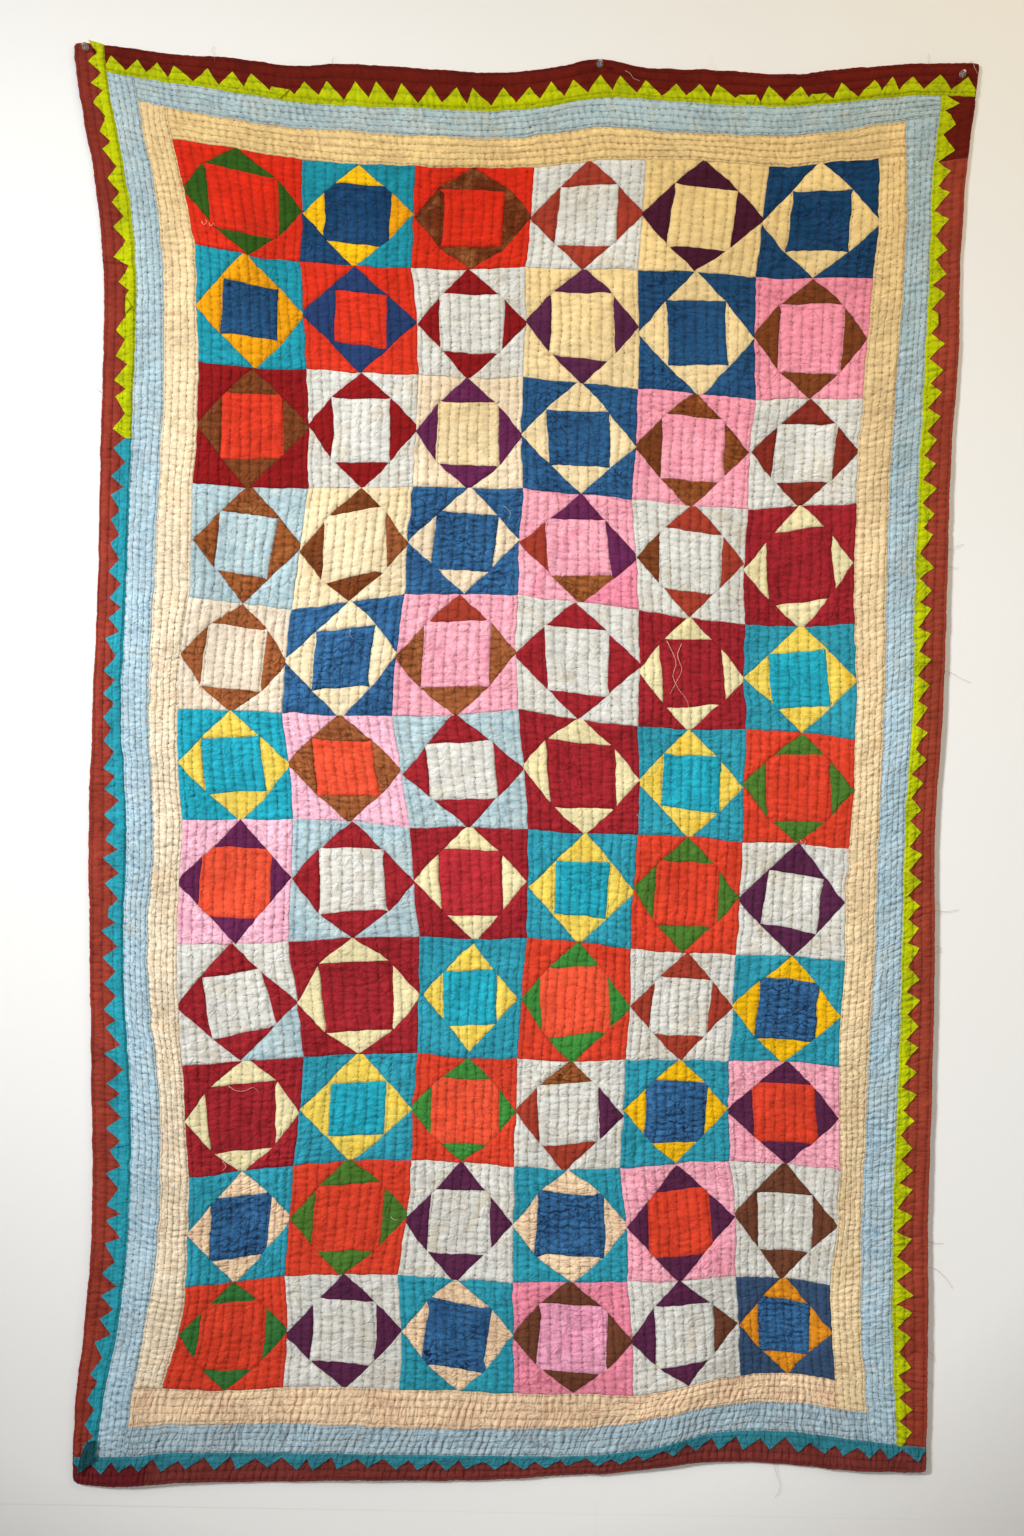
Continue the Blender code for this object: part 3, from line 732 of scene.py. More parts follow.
def relief(across, down, seam, quilting, bias=None):
    """How far quilted cloth stands proud, in millimetres, for places seam millimetres from a seam.

    bias is, where a patch is cut on the bias, the place across its slanting creases, or NaN elsewhere.
    """
    row, stitch = quilting_place(across, down, quilting)
    free = 1 - np.exp(-((seam / 3.0) ** 2))
    vary = 0.75 + 0.5 * uneven(across / 26, down / 26, 31)
    rise = sized("puff") * vary * wave(row) ** 0.6 * free
    strong = 0.45 + 0.55 * ease(-0.5, 0.7, uneven(across / 40, down / 40, 33))
    level = 1.0 if quilting.upright else 1.4
    rise -= level * sized("gather") * strong * puckers(row, stitch, 2.3) * (0.5 + 0.5 * free)
    rise += 0.9 * uneven(across / 48, down / 62, 34) * free
    rise += 0.6 * uneven(across / 15, down / 12, 35) * free
    crease = 1 - np.abs(uneven(across / 19 + 0.5 * uneven(across / 11, down / 11, 38), down / 11, 36))
    rise -= 1.2 * crease**7 * free
    if bias is not None:
        slant = np.nan_to_num(bias)
        pleats = np.cos(2 * np.pi * slant / 9 + 2.2 * uneven(across / 30, down / 30, 37))
        depth = 0.5 * ease(-0.3, 0.6, uneven(across / 70, down / 70, 39))
        rise += np.where(np.isnan(bias), 0, depth * pleats * free)
    ribs = np.cos(2 * np.pi * rib_phase(across, down, stitch))
    rise += quilting.ribs * (0.5 + 0.5 * ease(300, 1700, down)) * ribs * free
    rise -= sized("seam_depth") * np.exp(-((seam / 1.7) ** 2))
    off_row = (row - np.round(row)) * quilting.spacing
    off_stitch = past_stitch(np.round(row), stitch)
    rise -= 0.5 * np.exp(-((off_row / 2.4) ** 2) - (off_stitch / 2.6) ** 2)
    return rise, row, stitch


# Meshes


def placed(name, data):
    """A new object in the scene."""
    made = bpy.data.objects.new(name, data)
    bpy.context.scene.collection.objects.link(made)
    return made


def fit_out(piece, slot, *nodes):
    """A finished piece rides on the quilt's one body and stands for those CAD nodes."""
    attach(piece, "root")
    if nodes:
        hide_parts(*nodes)
    return piece


def points_of(mesh):
    co = np.zeros(len(mesh.vertices) * 3)
    mesh.vertices.foreach_get("co", co)
    return co.reshape(-1, 3)


def mesh_of(name, bm):
    mesh = bpy.data.meshes.new(name)
    bm.to_mesh(mesh)
    bm.free()
    return mesh


def hang_mesh(mesh, across, down, lift, row, stitch, rise, seam):
    """Hangs a flat mesh and writes what its material reads: flat place, row, stitch, ribs, rise and seam."""
    mesh.vertices.foreach_set("co", hang(across, down, lift).ravel())
    corners = np.zeros(len(mesh.loops), int)
    mesh.loops.foreach_get("vertex_index", corners)
    for name, pair in (("flat", (across * MM, down * MM)), ("quilting", (row, stitch))):
        layer = mesh.uv_layers.new(name=name)
        layer.data.foreach_set("uv", np.stack(pair, axis=1)[corners].ravel())
    ribs = rib_phase(across, down, stitch)
    # raised also sets the shade that the materials paint, darker where the cloth lies low
    raised = np.clip(0.5 + rise / 4, 0, 1)
    for name, values in (("ribs", ribs), ("raised", raised), ("seam", np.clip(seam, 0, 12))):
        attribute = mesh.attributes.new(name, "FLOAT", "POINT")
        attribute.data.foreach_set("value", values.astype(np.float32))
    mesh.shade_smooth()
    mesh.update()


def flat_grid(left, top, right, bottom, step):
    """A flat grid of about that step, as a bmesh."""
    wide, tall = right - left, bottom - top
    bm = bmesh.new()
    bmesh.ops.create_grid(
        bm, x_segments=max(2, round(wide / step)), y_segments=max(2, round(tall / step)), size=0.5
    )
    bmesh.ops.scale(bm, vec=(wide, tall, 1), verts=bm.verts[:])
    bmesh.ops.translate(bm, vec=(left + wide / 2, top + tall / 2, 0), verts=bm.verts[:])
    return bm


def cut(bm, point, normal, **sides):
    everything = bm.verts[:] + bm.edges[:] + bm.faces[:]
    bmesh.ops.bisect_plane(bm, geom=everything, plane_co=(*point, 0), plane_no=(*normal, 0), **sides)


def trimmed(name, bm, sliver):
    """The mesh of a grid that has been cut along its seams, without slivers and facing forwards."""
    bmesh.ops.dissolve_degenerate(bm, dist=sliver, edges=bm.edges[:])
    bmesh.ops.triangulate(bm, faces=[f for f in bm.faces if len(f.verts) > 4])
    bmesh.ops.reverse_faces(bm, faces=bm.faces[:])
    return mesh_of(name, bm)


def turned(name, outline, steps):
    """Turns an outline about the Y axis, its length running towards -Y."""
    bm = bmesh.new()
    verts = [bm.verts.new((radius * MM, 0, along * MM)) for radius, along in outline]
    edges = [bm.edges.new(pair) for pair in zip(verts, verts[1:])]
    bmesh.ops.spin(
        bm,
        geom=verts + edges,
        cent=(0, 0, 0),
        axis=(0, 0, 1),
        angle=2 * math.pi,
        steps=steps,
        use_merge=True,
    )
    bmesh.ops.remove_doubles(bm, verts=bm.verts[:], dist=1e-6)
    bmesh.ops.rotate(bm, cent=(0, 0, 0), matrix=Matrix.Rotation(math.pi / 2, 3, "X"), verts=bm.verts[:])
    bmesh.ops.recalc_face_normals(bm, faces=bm.faces[:])
    return mesh_of(name, bm)


# Materials


class Value:
    """What a node gives. Signs of arithmetic between values build Math nodes."""

    def __init__(self, recipe, socket):
        self.recipe, self.socket = recipe, socket

    def __add__(self, other):
        return self.recipe.math("ADD", self, other)

    def __sub__(self, other):
        return self.recipe.math("SUBTRACT", self, other)

    def __mul__(self, other):
        return self.recipe.math("MULTIPLY", self, other)

    def times_plus(self, factor, other):
        return self.recipe.math("MULTIPLY_ADD", self, factor, other)

    def part(self):
        """What is left of the value past a whole number."""
        return self.recipe.math("FRACT", self)

    def sine(self):
        return self.recipe.math("SINE", self)

    def bell(self, wide):
        """1 where the value is 0, falling off smoothly over that width on both sides."""
        scaled = self * (1 / wide)
        return self.recipe.math("EXPONENT", scaled * scaled * -1.0)

    def remap(self, low, high, to_low, to_high):
        values = {"Value": self, "From Min": low, "From Max": high, "To Min": to_low, "To Max": to_high}
        return self.recipe.node("ShaderNodeMapRange", values)


class Recipe:
    """Builds a material's nodes from named parts."""

    def __init__(self, name):
        self.material = bpy.data.materials.new(name)
        self.material.use_nodes = True
        self.tree = self.material.node_tree
        self.shader = self.tree.nodes["Principled BSDF"]

    def feed(self, value, socket):
        if isinstance(value, Value):
            self.tree.links.new(value.socket, socket)
        else:
            socket.default_value = value

    def node(self, kind, inputs=(), output=0, **settings):
        """What a new node gives at that output."""
        made = self.tree.nodes.new(kind)
        for key, value in settings.items():
            setattr(made, key, value)
        for key, value in dict(inputs).items():
            self.feed(value, made.inputs[key])
        return Value(self, made.outputs[output])

    def math(self, operation, *values, clamp=False):
        return self.node("ShaderNodeMath", enumerate(values), operation=operation, use_clamp=clamp)

    def noise(self, vector, scale, detail=3.0, roughness=0.55, distortion=0.0):
        values = {"Vector": vector, "Scale": scale, "Detail": detail, "Roughness": roughness}
        return self.node("ShaderNodeTexNoise", {**values, "Distortion": distortion}, "Fac")

    def stretch(self, vector, across, along):
        return self.node("ShaderNodeMapping", {"Vector": vector, "Scale": (across, along, 1)})

    def scaled(self, vector, factor):
        return self.node("ShaderNodeVectorMath", {0: vector, "Scale": factor}, operation="SCALE")

    def added(self, vector, other):
        return self.node("ShaderNodeVectorMath", {0: vector, 1: other}, operation="ADD")

    def split(self, vector):
        """A vector's three values."""
        outputs = self.node("ShaderNodeSeparateXYZ", {"Vector": vector}).socket.node.outputs
        return [Value(self, socket) for socket in outputs]

    def blend(self, factor, a, b):
        return self.node("ShaderNodeMix", {"Factor": factor, 6: a, 7: b}, 2, data_type="RGBA")

    def place(self):
        return self.node("ShaderNodeTexCoord", output="Object")

    def finish(self, height, strength, distance, **sockets):
        """Bumps the surface by that height and fills the shader's sockets; the material is then done."""
        bump = {"Strength": strength, "Distance": distance, "Height": height}
        self.feed(self.node("ShaderNodeBump", bump), self.shader.inputs["Normal"])
        for name, value in sockets.items():
            self.feed(value, self.shader.inputs[name.replace("_", " ")])
        return self.material


def pucker_lines(recipe, row, stitch):
    """The sharp creases that the stitches draw across the cloth beside them, as puckers() has them."""
    lower = recipe.math("FLOOR", row)
    depth = 0.0
    for beside in (lower, lower + 1.0):
        jump = (beside * beside * 0.618).part()
        slow = beside.times_plus(2.4, stitch * 0.21)
        quick = beside.times_plus(4.1, stitch * 0.9)
        phase = quick.sine().times_plus(0.2, slow.sine().times_plus(0.5, jump))
        line = ((stitch + phase).part() - 0.5).bell(1.9 / sized("stitch_pitch"))
        away = recipe.math("ABSOLUTE", row - beside)
        near = recipe.math("SUBTRACT", 1.0, away, clamp=True)
        depth = line.times_plus(near, depth)
    return depth


# How some cloths have aged, with the shade painted in their creases: the colours of their stains, in blots,
# and of the painted shade along their creases, each with its strength, then how strongly they are creased,
# crinkled and ribbed, and the dye's colour at the top of the quilt, where it has faded less
Age = namedtuple(
    "Age",
    "stain stained streak streaked creased crinkled ribbed fresh",
    defaults=(None, 0.0, None, 0.0, 1.0, 0.8, 0.0, None),
)
AGED_AND_SHADED = {
    "grey": Age("#D3C8B2", 0.7),
    "sky": Age("#DDE7E6", 0.5, "#7FAFD0", 0.6),
    "cream": Age("#EBC98C", 0.5, creased=0.8, crinkled=0.4, fresh="#F0D08C"),
    "shell": Age("#EBCFA4", 0.4, creased=0.8, crinkled=0.4),
    "bleached": Age("#E6C79A", 0.45, "#D0A06E", 0.5, crinkled=0.35, ribbed=0.5, fresh="#EFD29A"),
    "golden": Age("#E3BC84", 0.45, "#C08A4E", 0.45, crinkled=0.35, ribbed=0.55),
    "buff": Age("#E9C692", 0.45, "#C99A62", 0.5, crinkled=0.35, ribbed=0.35, fresh="#EFD092"),
    "apricot": Age("#E7B592", 0.5, "#C4845E", 0.5, crinkled=0.25, ribbed=0.9),
    "peach": Age("#E8C9A0", 0.4, creased=0.8, crinkled=0.4),
    "pink": Age("#F087A4", 0.5, "#CF5C82", 0.45, fresh="#F88EA0"),
    "rose": Age("#F08AAE", 0.5, "#CF5C8A", 0.45),
    "pale_blue": Age("#C3CCCB", 0.7, "#4E86B2", 0.6, crinkled=0.25, ribbed=0.6, fresh="#B2C8CD"),
    "grey_blue": Age("#C2C6BC", 0.7, "#56819C", 0.45, crinkled=0.3, ribbed=0.75),
    "dull_blue": Age("#B4BDBE", 0.7, "#4C7896", 0.55, crinkled=0.2, ribbed=1.2),
    "primrose": Age("#EBD893", 0.4, creased=0.8, crinkled=0.4),
    "yellow": Age("#E9B81E", 0.6, creased=0.8, crinkled=0.5),
    "lime": Age("#98A80A", 0.5, "#6E8A10", 0.6, crinkled=0.4, ribbed=0.35),
    "lagoon": Age("#1D7285", 0.6, crinkled=0.4, ribbed=0.5),
    "dull_teal": Age("#21606D", 0.6, crinkled=0.3, ribbed=0.9),
    "brick": Age("#7E2B20", 0.6, creased=0.7, crinkled=0.4, ribbed=0.5, fresh="#853023"),
    "oxblood": Age("#5E130B", 0.6, creased=0.7, crinkled=0.4, ribbed=0.4),
    "russet": Age("#84301F", 0.5, creased=0.7, crinkled=0.4, ribbed=0.5),
    "old_maroon": Age("#62241F", 0.6, creased=0.7, crinkled=0.3, ribbed=0.9),
    "teal": Age("#1A8BA3", 0.5, "#146578", 0.5, fresh="#1C8FA2"),
    "blue": Age("#264C78", 0.7, "#0F2748", 0.9, creased=1.3, crinkled=1.0, fresh="#123F66"),
    "red": Age("#CB321A", 0.5, "#93210F", 0.4, creased=0.75, crinkled=0.5, fresh="#DC2A12"),
    "scarlet": Age("#E03A1E", 0.5, "#A8280F", 0.4, creased=0.75, crinkled=0.5),
    "maroon": Age("#82131D", 0.5, "#560C14", 0.5),
    "faded_teal": Age("#1F8299", 0.5, "#1B6376", 0.5),
    "walnut": Age("#6E3A1C", 0.5, "#3E1F0C", 0.6, creased=1.2),
    "tan": Age("#8A4A26", 0.6, "#4E2A14", 0.75, creased=1.2),
    "blush": Age("#F59AB6", 0.4, "#D66C90", 0.4),
    "salmon": Age("#EA7F95", 0.4, "#C85C78", 0.4),
    "brown": Age("#B0713F", 0.6, "#3E1F0C", 0.75, creased=1.2, fresh="#6C2D10"),
    "purple": Age("#451337", 0.5),
    "damson": Age(creased=0.7, crinkled=0.3, ribbed=0.8),
    "backing": Age("#C4B08E", 0.5),
    "deep_teal": Age("#246C76", 0.4, crinkled=0.3),
}


def cotton(name):
    """Old hand-quilted cotton in one of the quilt's dyes, made once and then shared."""
    title = f"{name.replace('_', ' ')} cloth"
    if title in bpy.data.materials:
        return bpy.data.materials[title]
    age_and_shade, colour = AGED_AND_SHADED.get(name, Age()), (*coloured(name), 1)
    recipe = Recipe(title)
    noise = recipe.noise
    flat, quilting = (recipe.node("ShaderNodeUVMap", uv_map=one) for one in ("flat", "quilting"))
    raised, seam, ribs = (
        recipe.node("ShaderNodeAttribute", output="Fac", attribute_name=one)
        for one in ("raised", "seam", "ribs")
    )
    row, stitch, _ = recipe.split(quilting)
    down = recipe.split(flat)[1]

    # Creases: those that the stitches draw, crumples of no one direction and long crinkles
    strength = down.remap(0.2, 1.7, 0.7 * age_and_shade.creased, age_and_shade.creased)
    where, waver = noise(flat, 38, 2), noise(flat, 110, 2)
    drawn = pucker_lines(recipe, row, (waver - 0.5).times_plus(1.1, stitch))
    drawn = drawn * (where.remap(0.38, 0.62, 1.0, 0.15) * strength)
    swirl = recipe.node("ShaderNodeTexNoise", {"Vector": flat, "Scale": 70.0, "Detail": 2.0}, "Color")
    moved = recipe.added(flat, recipe.scaled(swirl, 0.026))
    cells = recipe.node(
        "ShaderNodeTexVoronoi",
        {"Vector": recipe.stretch(moved, 62, 95), "Scale": 1.0},
        "Distance",
        feature="DISTANCE_TO_EDGE",
        voronoi_dimensions="2D",
    )
    crumpled = where.remap(0.38, 0.6, 0.2, 1.0) * strength
    crumple = cells.bell(0.08) * crumpled
    domes = recipe.math("POWER", cells, 0.6) * crumpled
    bent = noise(recipe.stretch(flat, 26, 40), 1, 1, 0.5, 0.5)
    crinkle = (bent - 0.5).bell(0.018) * waver.remap(0.4, 0.62, 0.0, age_and_shade.crinkled)
    ribbed = down.remap(0.2, 1.7, 0.6, 1.0) * (where.remap(0.36, 0.56, 1.0, 0.35) * age_and_shade.ribbed)
    rib = (ribs.part() - 0.5).bell(0.13) * ribbed
    groove = ((row + 0.5).part() - 0.5).bell(0.12)
    seam_line = seam.bell(0.8) * where.remap(0.4, 0.6, 0.3, 1.0)

    fade = noise(flat, 9).remap(0.3, 0.7, 0.92, 1.07)
    mottle = noise(flat, 95, 5, 0.65).remap(0.3, 0.7, 0.93, 1.06)
    warp = noise(recipe.stretch(flat, 1500, 60), 1).remap(0.3, 0.7, 0.95, 1.05)
    weft = noise(recipe.stretch(flat, 60, 1500), 1).remap(0.3, 0.7, 0.95, 1.05)
    # Painted shade: fade, mottle, warp and weft are the cloth's own tone; on top of that tone the colour is
    # darker where the cloth lies low (raised) and along its creases, ribs, row grooves and seams
    tone_and_painted_shade = fade * mottle * (warp * weft) * raised.remap(0.25, 0.75, 0.86, 1.06)
    painted_crease_shade = ((drawn, 0.1), (crumple, 0.15), (crinkle, 0.12), (rib, 0.15), (groove, 0.1), (seam_line, 0.24))
    for lines, dark in painted_crease_shade:
        tone_and_painted_shade = tone_and_painted_shade * lines.times_plus(-dark, 1.0)

    if age_and_shade.fresh:
        colour = recipe.blend(down.remap(0.2, 0.75, 0, 1), (*linear(age_and_shade.fresh), 1), colour)
    if age_and_shade.stain:
        blot = noise(flat, 22, 4, 0.7, 0.8).remap(0.48, 0.68, 0, age_and_shade.stained)
        colour = recipe.blend(blot, colour, (*linear(age_and_shade.stain), 1))
    # Painted shade: a darker colour laid along the creases, crinkles and stitch puckers
    if age_and_shade.streak:
        faint = noise(flat, 14, 2).remap(0.38, 0.6, 0.25 * age_and_shade.streaked, age_and_shade.streaked)
        lines = recipe.math("MAXIMUM", recipe.math("MAXIMUM", crumple, crinkle), drawn)
        colour = recipe.blend(lines * faint, colour, (*linear(age_and_shade.streak), 1))

    # Heights in millimetres: creases, rows, seams and the weave
    across_thread, along_thread, _ = recipe.split(recipe.stretch(flat, 8200, 8200))
    weave = across_thread.sine() * along_thread.sine()
    height = domes.times_plus(1.5, waver.times_plus(0.7, weave * 0.035))
    for lines, deep in ((drawn, 0.8), (crinkle, 0.6), (rib, 1.1), (groove, 0.55), (seam_line, 0.45)):
        height = lines.times_plus(-deep, height)
    return recipe.finish(
        height,
        1.0,
        MM,
        Base_Color=recipe.scaled(colour if isinstance(colour, Value) else colour[:3], tone_and_painted_shade),
        Roughness=mottle.remap(0.93, 1.06, 0.94, 0.84),
        Specular_IOR_Level=0.1,
        Sheen_Weight=0.03,
        Sheen_Roughness=0.5,
    )


def thread_material(name, colour):
    """Twisted cotton thread, its turns as fine bumps along it."""
    if name in bpy.data.materials:
        return bpy.data.materials[name]
    recipe = Recipe(name)
    place = recipe.place()
    flecks = recipe.noise(place, 900, 2).remap(0.3, 0.7, 0.8, 1.25)
    turns = recipe.noise(place, 2500, 1)
    dyed = recipe.scaled(coloured(colour), flecks)
    return recipe.finish(turns, 0.5, 0.0002, Base_Color=dyed, Roughness=0.8, Specular_IOR_Level=0.25)


def clear_plastic():
    recipe = Recipe("clear plastic")
    scratches = recipe.noise(recipe.place(), 1400, 3)
    return recipe.finish(
        scratches,
        0.08,
        0.0001,
        Base_Color=(0.98, 0.99, 1.0, 1),
        Roughness=scratches.remap(0.35, 0.65, 0.0, 0.07),
        Transmission_Weight=0.93,
        IOR=1.49,
    )


def steel():
    recipe = Recipe("pin steel")
    grain = recipe.noise(recipe.stretch(recipe.place(), 3000, 200), 1, 2)
    rough = grain.remap(0.3, 0.7, 0.22, 0.4)
    return recipe.finish(grain, 0.1, 0.00005, Base_Color=(0.6, 0.61, 0.63, 1), Roughness=rough, Metallic=1.0)


# Grey of the wall's painted shade towards its foot, and of its joints
SHADE_AND_JOINT_GREY = (0.45, 0.44, 0.43, 1)


def plaster(name, one_sided):
    """Pale paint on plaster. A one-sided wall is see-through from behind, so that the back shows."""
    recipe = Recipe(f"pale {name}")
    place = recipe.place()
    x, _, z = recipe.split(place)
    cloud = recipe.noise(place, 1.2, 3)
    tint = recipe.blend(cloud.remap(0.35, 0.65, 0, 1), (0.86, 0.86, 0.85, 1), (0.88, 0.88, 0.87, 1))

    # Painted shade, grey towards the bottom left corner, and the faint joints at the foot of the wall
    moved = recipe.added(place, (0.3, 0, 0.9))
    far = recipe.node("ShaderNodeVectorMath", {0: moved}, "Value", operation="LENGTH")
    tint = recipe.blend(far.remap(1.27, 1.6, 0, 0.7) * z.remap(-1.4, -1.9, 0, 1), tint, SHADE_AND_JOINT_GREY)
    level = x.times_plus(0.017, z)
    joint = (level + 2.13).bell(0.0009)
    upright = (x + 0.005).bell(0.0009) * level.remap(-2.105, -2.115, 0, 1)
    joints = recipe.math("MAXIMUM", joint, upright) * cloud.remap(0.4, 0.6, 0.1, 0.3)
    tint = recipe.blend(joints, tint, SHADE_AND_JOINT_GREY)
    made = recipe.finish(
        recipe.noise(place, 60, 4), 0.25, 0.001, Base_Color=tint, Roughness=0.9, Specular_IOR_Level=0.2
    )
    if one_sided:
        behind = recipe.node("ShaderNodeNewGeometry", output="Backfacing")
        paint, clear = Value(recipe, recipe.shader.outputs[0]), recipe.node("ShaderNodeBsdfTransparent")
        mix = recipe.node("ShaderNodeMixShader", {0: behind, 1: paint, 2: clear})
        recipe.feed(mix, recipe.tree.nodes["Material Output"].inputs[0])
    return made


# Patchwork


SIDES = ("top", "right", "bottom", "left")
CORNERS = ("upper_right", "lower_right", "lower_left", "upper_left")
PLACES = (*SIDES, *CORNERS, "centre")


def block_dyes(row, column):
    """The dye of each of a block's nine patches."""
    corners, points, centre = DIAGONALS[row + column]
    dyes = {"corners": corners, "points": points, "centre": centre, **ODD_PATCHES.get((row, column), {})}
    patches = {}
    for place, name in dyes.items():
        group = {"points": SIDES, "corners": CORNERS}.get(place, (place,))
        patches.update(dict.fromkeys(group, name))
    return patches


def block_lines(row, column):
    """The seams inside a block, as points and outward normals: four round the diamond, four round the square.

    A block is one unit wide, and its middle is at the origin, with down as the second direction.
    """
    stray = np.random.default_rng(1000 + 10 * row + column)
    slip = stray.uniform(-0.03, 0.03, 4)
    short = 0.05 if (row, column) == SMALL_DIAMOND else 0
    beyond = 0.5 - short + stray.uniform(-0.008, 0.032, 4)
    tips = [(slip[0], -beyond[0]), (beyond[1], slip[1]), (slip[2], beyond[2]), (-beyond[3], slip[3])]
    tips = [Vector(tip) for tip in tips]
    lines = []
    for tip, following in zip(tips, tips[1:] + tips[:1]):
        along = (following - tip).normalized()
        lines.append((tip, Vector((along.y, -along.x))))
    turn, wide, tall, bow = INNERS[row][column]
    middle = Vector(stray.uniform(-0.008, 0.008, 2))
    for k in range(4):
        angle = math.radians(turn + 90 * k - 90) + stray.uniform(-0.04, 0.04)
        outward = Vector((math.cos(angle), math.sin(angle)))
        lines.append((middle + outward * ((tall, wide)[k % 2] / 200), outward))
    return lines, bow / 100


def block(row, column):
    """One block as an object: its grid is cut along the seams, dyed patch by patch and hung."""
    lines, bow = block_lines(row, column)
    bm = flat_grid(-0.5, -0.5, 0.5, 0.5, sized("mesh_step") / BLOCK_WIDE)
    for point, normal in lines:
        cut(bm, point, normal)
    mesh = trimmed(f"block {row} {column}", bm, 0.001)

    def beyond(places):
        return [(places - np.array(p)) @ np.array(n) for p, n in lines]

    centres = np.zeros(len(mesh.polygons) * 3)
    mesh.polygons.foreach_get("center", centres)
    centres = centres.reshape(-1, 3)[:, :2]
    out = beyond(centres)
    past = np.stack(out[4:])
    place = np.where(past.max(0) > 0, past.argmax(0), 8)
    right, lower = centres[:, 0] > 0, centres[:, 1] > 0
    corner = np.where(right, np.where(lower, 1, 0), np.where(lower, 2, 3))
    place = np.where(np.maximum.reduce(out[:4]) > 0, 4 + corner, place)
    patches = block_dyes(row, column)
    dyes = list(dict.fromkeys(patches[name] for name in PLACES))
    for name in dyes:
        mesh.materials.append(cotton(name))
    by_place = np.array([dyes.index(patches[name]) for name in PLACES])
    mesh.polygons.foreach_set("material_index", by_place[place].astype(np.int32))

    u, v = points_of(mesh)[:, :2].T
    out = beyond(np.stack([u, v], axis=1))
    outside = np.maximum.reduce(out[:4])
    seam = np.minimum.reduce([np.abs(o) for o in out[:4]] + [0.5 - np.abs(u), 0.5 - np.abs(v)])
    within = np.minimum.reduce([np.abs(o) for o in out[4:]])
    seam = np.where(outside < 1e-4, np.minimum(seam, within), seam) * BLOCK_WIDE
    slant = np.where(u * v > 0, u - v, u + v) * BLOCK_WIDE / math.sqrt(2)
    bias = np.where(outside > 0, slant, np.nan)
    bulge = 1.4 * bow * np.abs(np.sin(2 * np.pi * u) * np.sin(2 * np.pi * v)) ** 0.7
    level = np.clip(0.5 + (np.abs(v) - np.abs(u)) / 0.16, 0, 1)
    across = A[3] + (column + 0.5 + u + bulge * level * np.sign(u)) * BLOCK_WIDE
    down = D[3] + (row + 0.5 + v + bulge * (1 - level) * np.sign(v)) * BLOCK_TALL
    rise, quilt_row, stitch = relief(across, down, seam, field_quilting(), bias)
    hang_mesh(mesh, across, down, rise, quilt_row, stitch, rise, seam)
    return placed(f"block_{row}_{column}", mesh)


def joined(name, objects):
    """Joins objects into one, with that name."""
    first = objects[0]
    with bpy.context.temp_override(
        active_object=first, object=first, selected_objects=objects, selected_editable_objects=objects
    ):
        bpy.ops.object.join()
    first.name = first.data.name = name
    return first


class SewPatchwork(bpy.types.Operator):
    """Sews the blocks of squares in diamonds, row by row"""

    bl_idname = "quilt.sew_patchwork"
    bl_label = "Sew the patchwork"

    def execute(self, context):
        for row in range(ROWS):
            blocks = [block(row, column) for column in range(COLUMNS)]
            piece = joined(f"patchwork_row_{row + 1:02d}", blocks)
            fit_out(piece, "patchwork cotton", "patchwork_field")
        return {"FINISHED"}


# Borders


def edge_roll(across, down, radius):
    """Flat places with those past the quilt's edge put back on it, and how far each has turned round it."""
    over_a = np.maximum(0, np.maximum(-across, across - WIDE))
    over_d = np.maximum(0, np.maximum(-down, down - TALL))
    turned_by = np.minimum(np.maximum(over_a, over_d) / radius, math.pi)
    way_x = np.where(across > WIDE / 2, 1, -1) * (over_a > 0)
    way_z = np.where(down < TALL / 2, 1, -1) * (over_d > 0)
    out = radius * np.sin(turned_by)
    return np.clip(across, 0, WIDE), np.clip(down, 0, TALL), turned_by, way_x * out, way_z * out


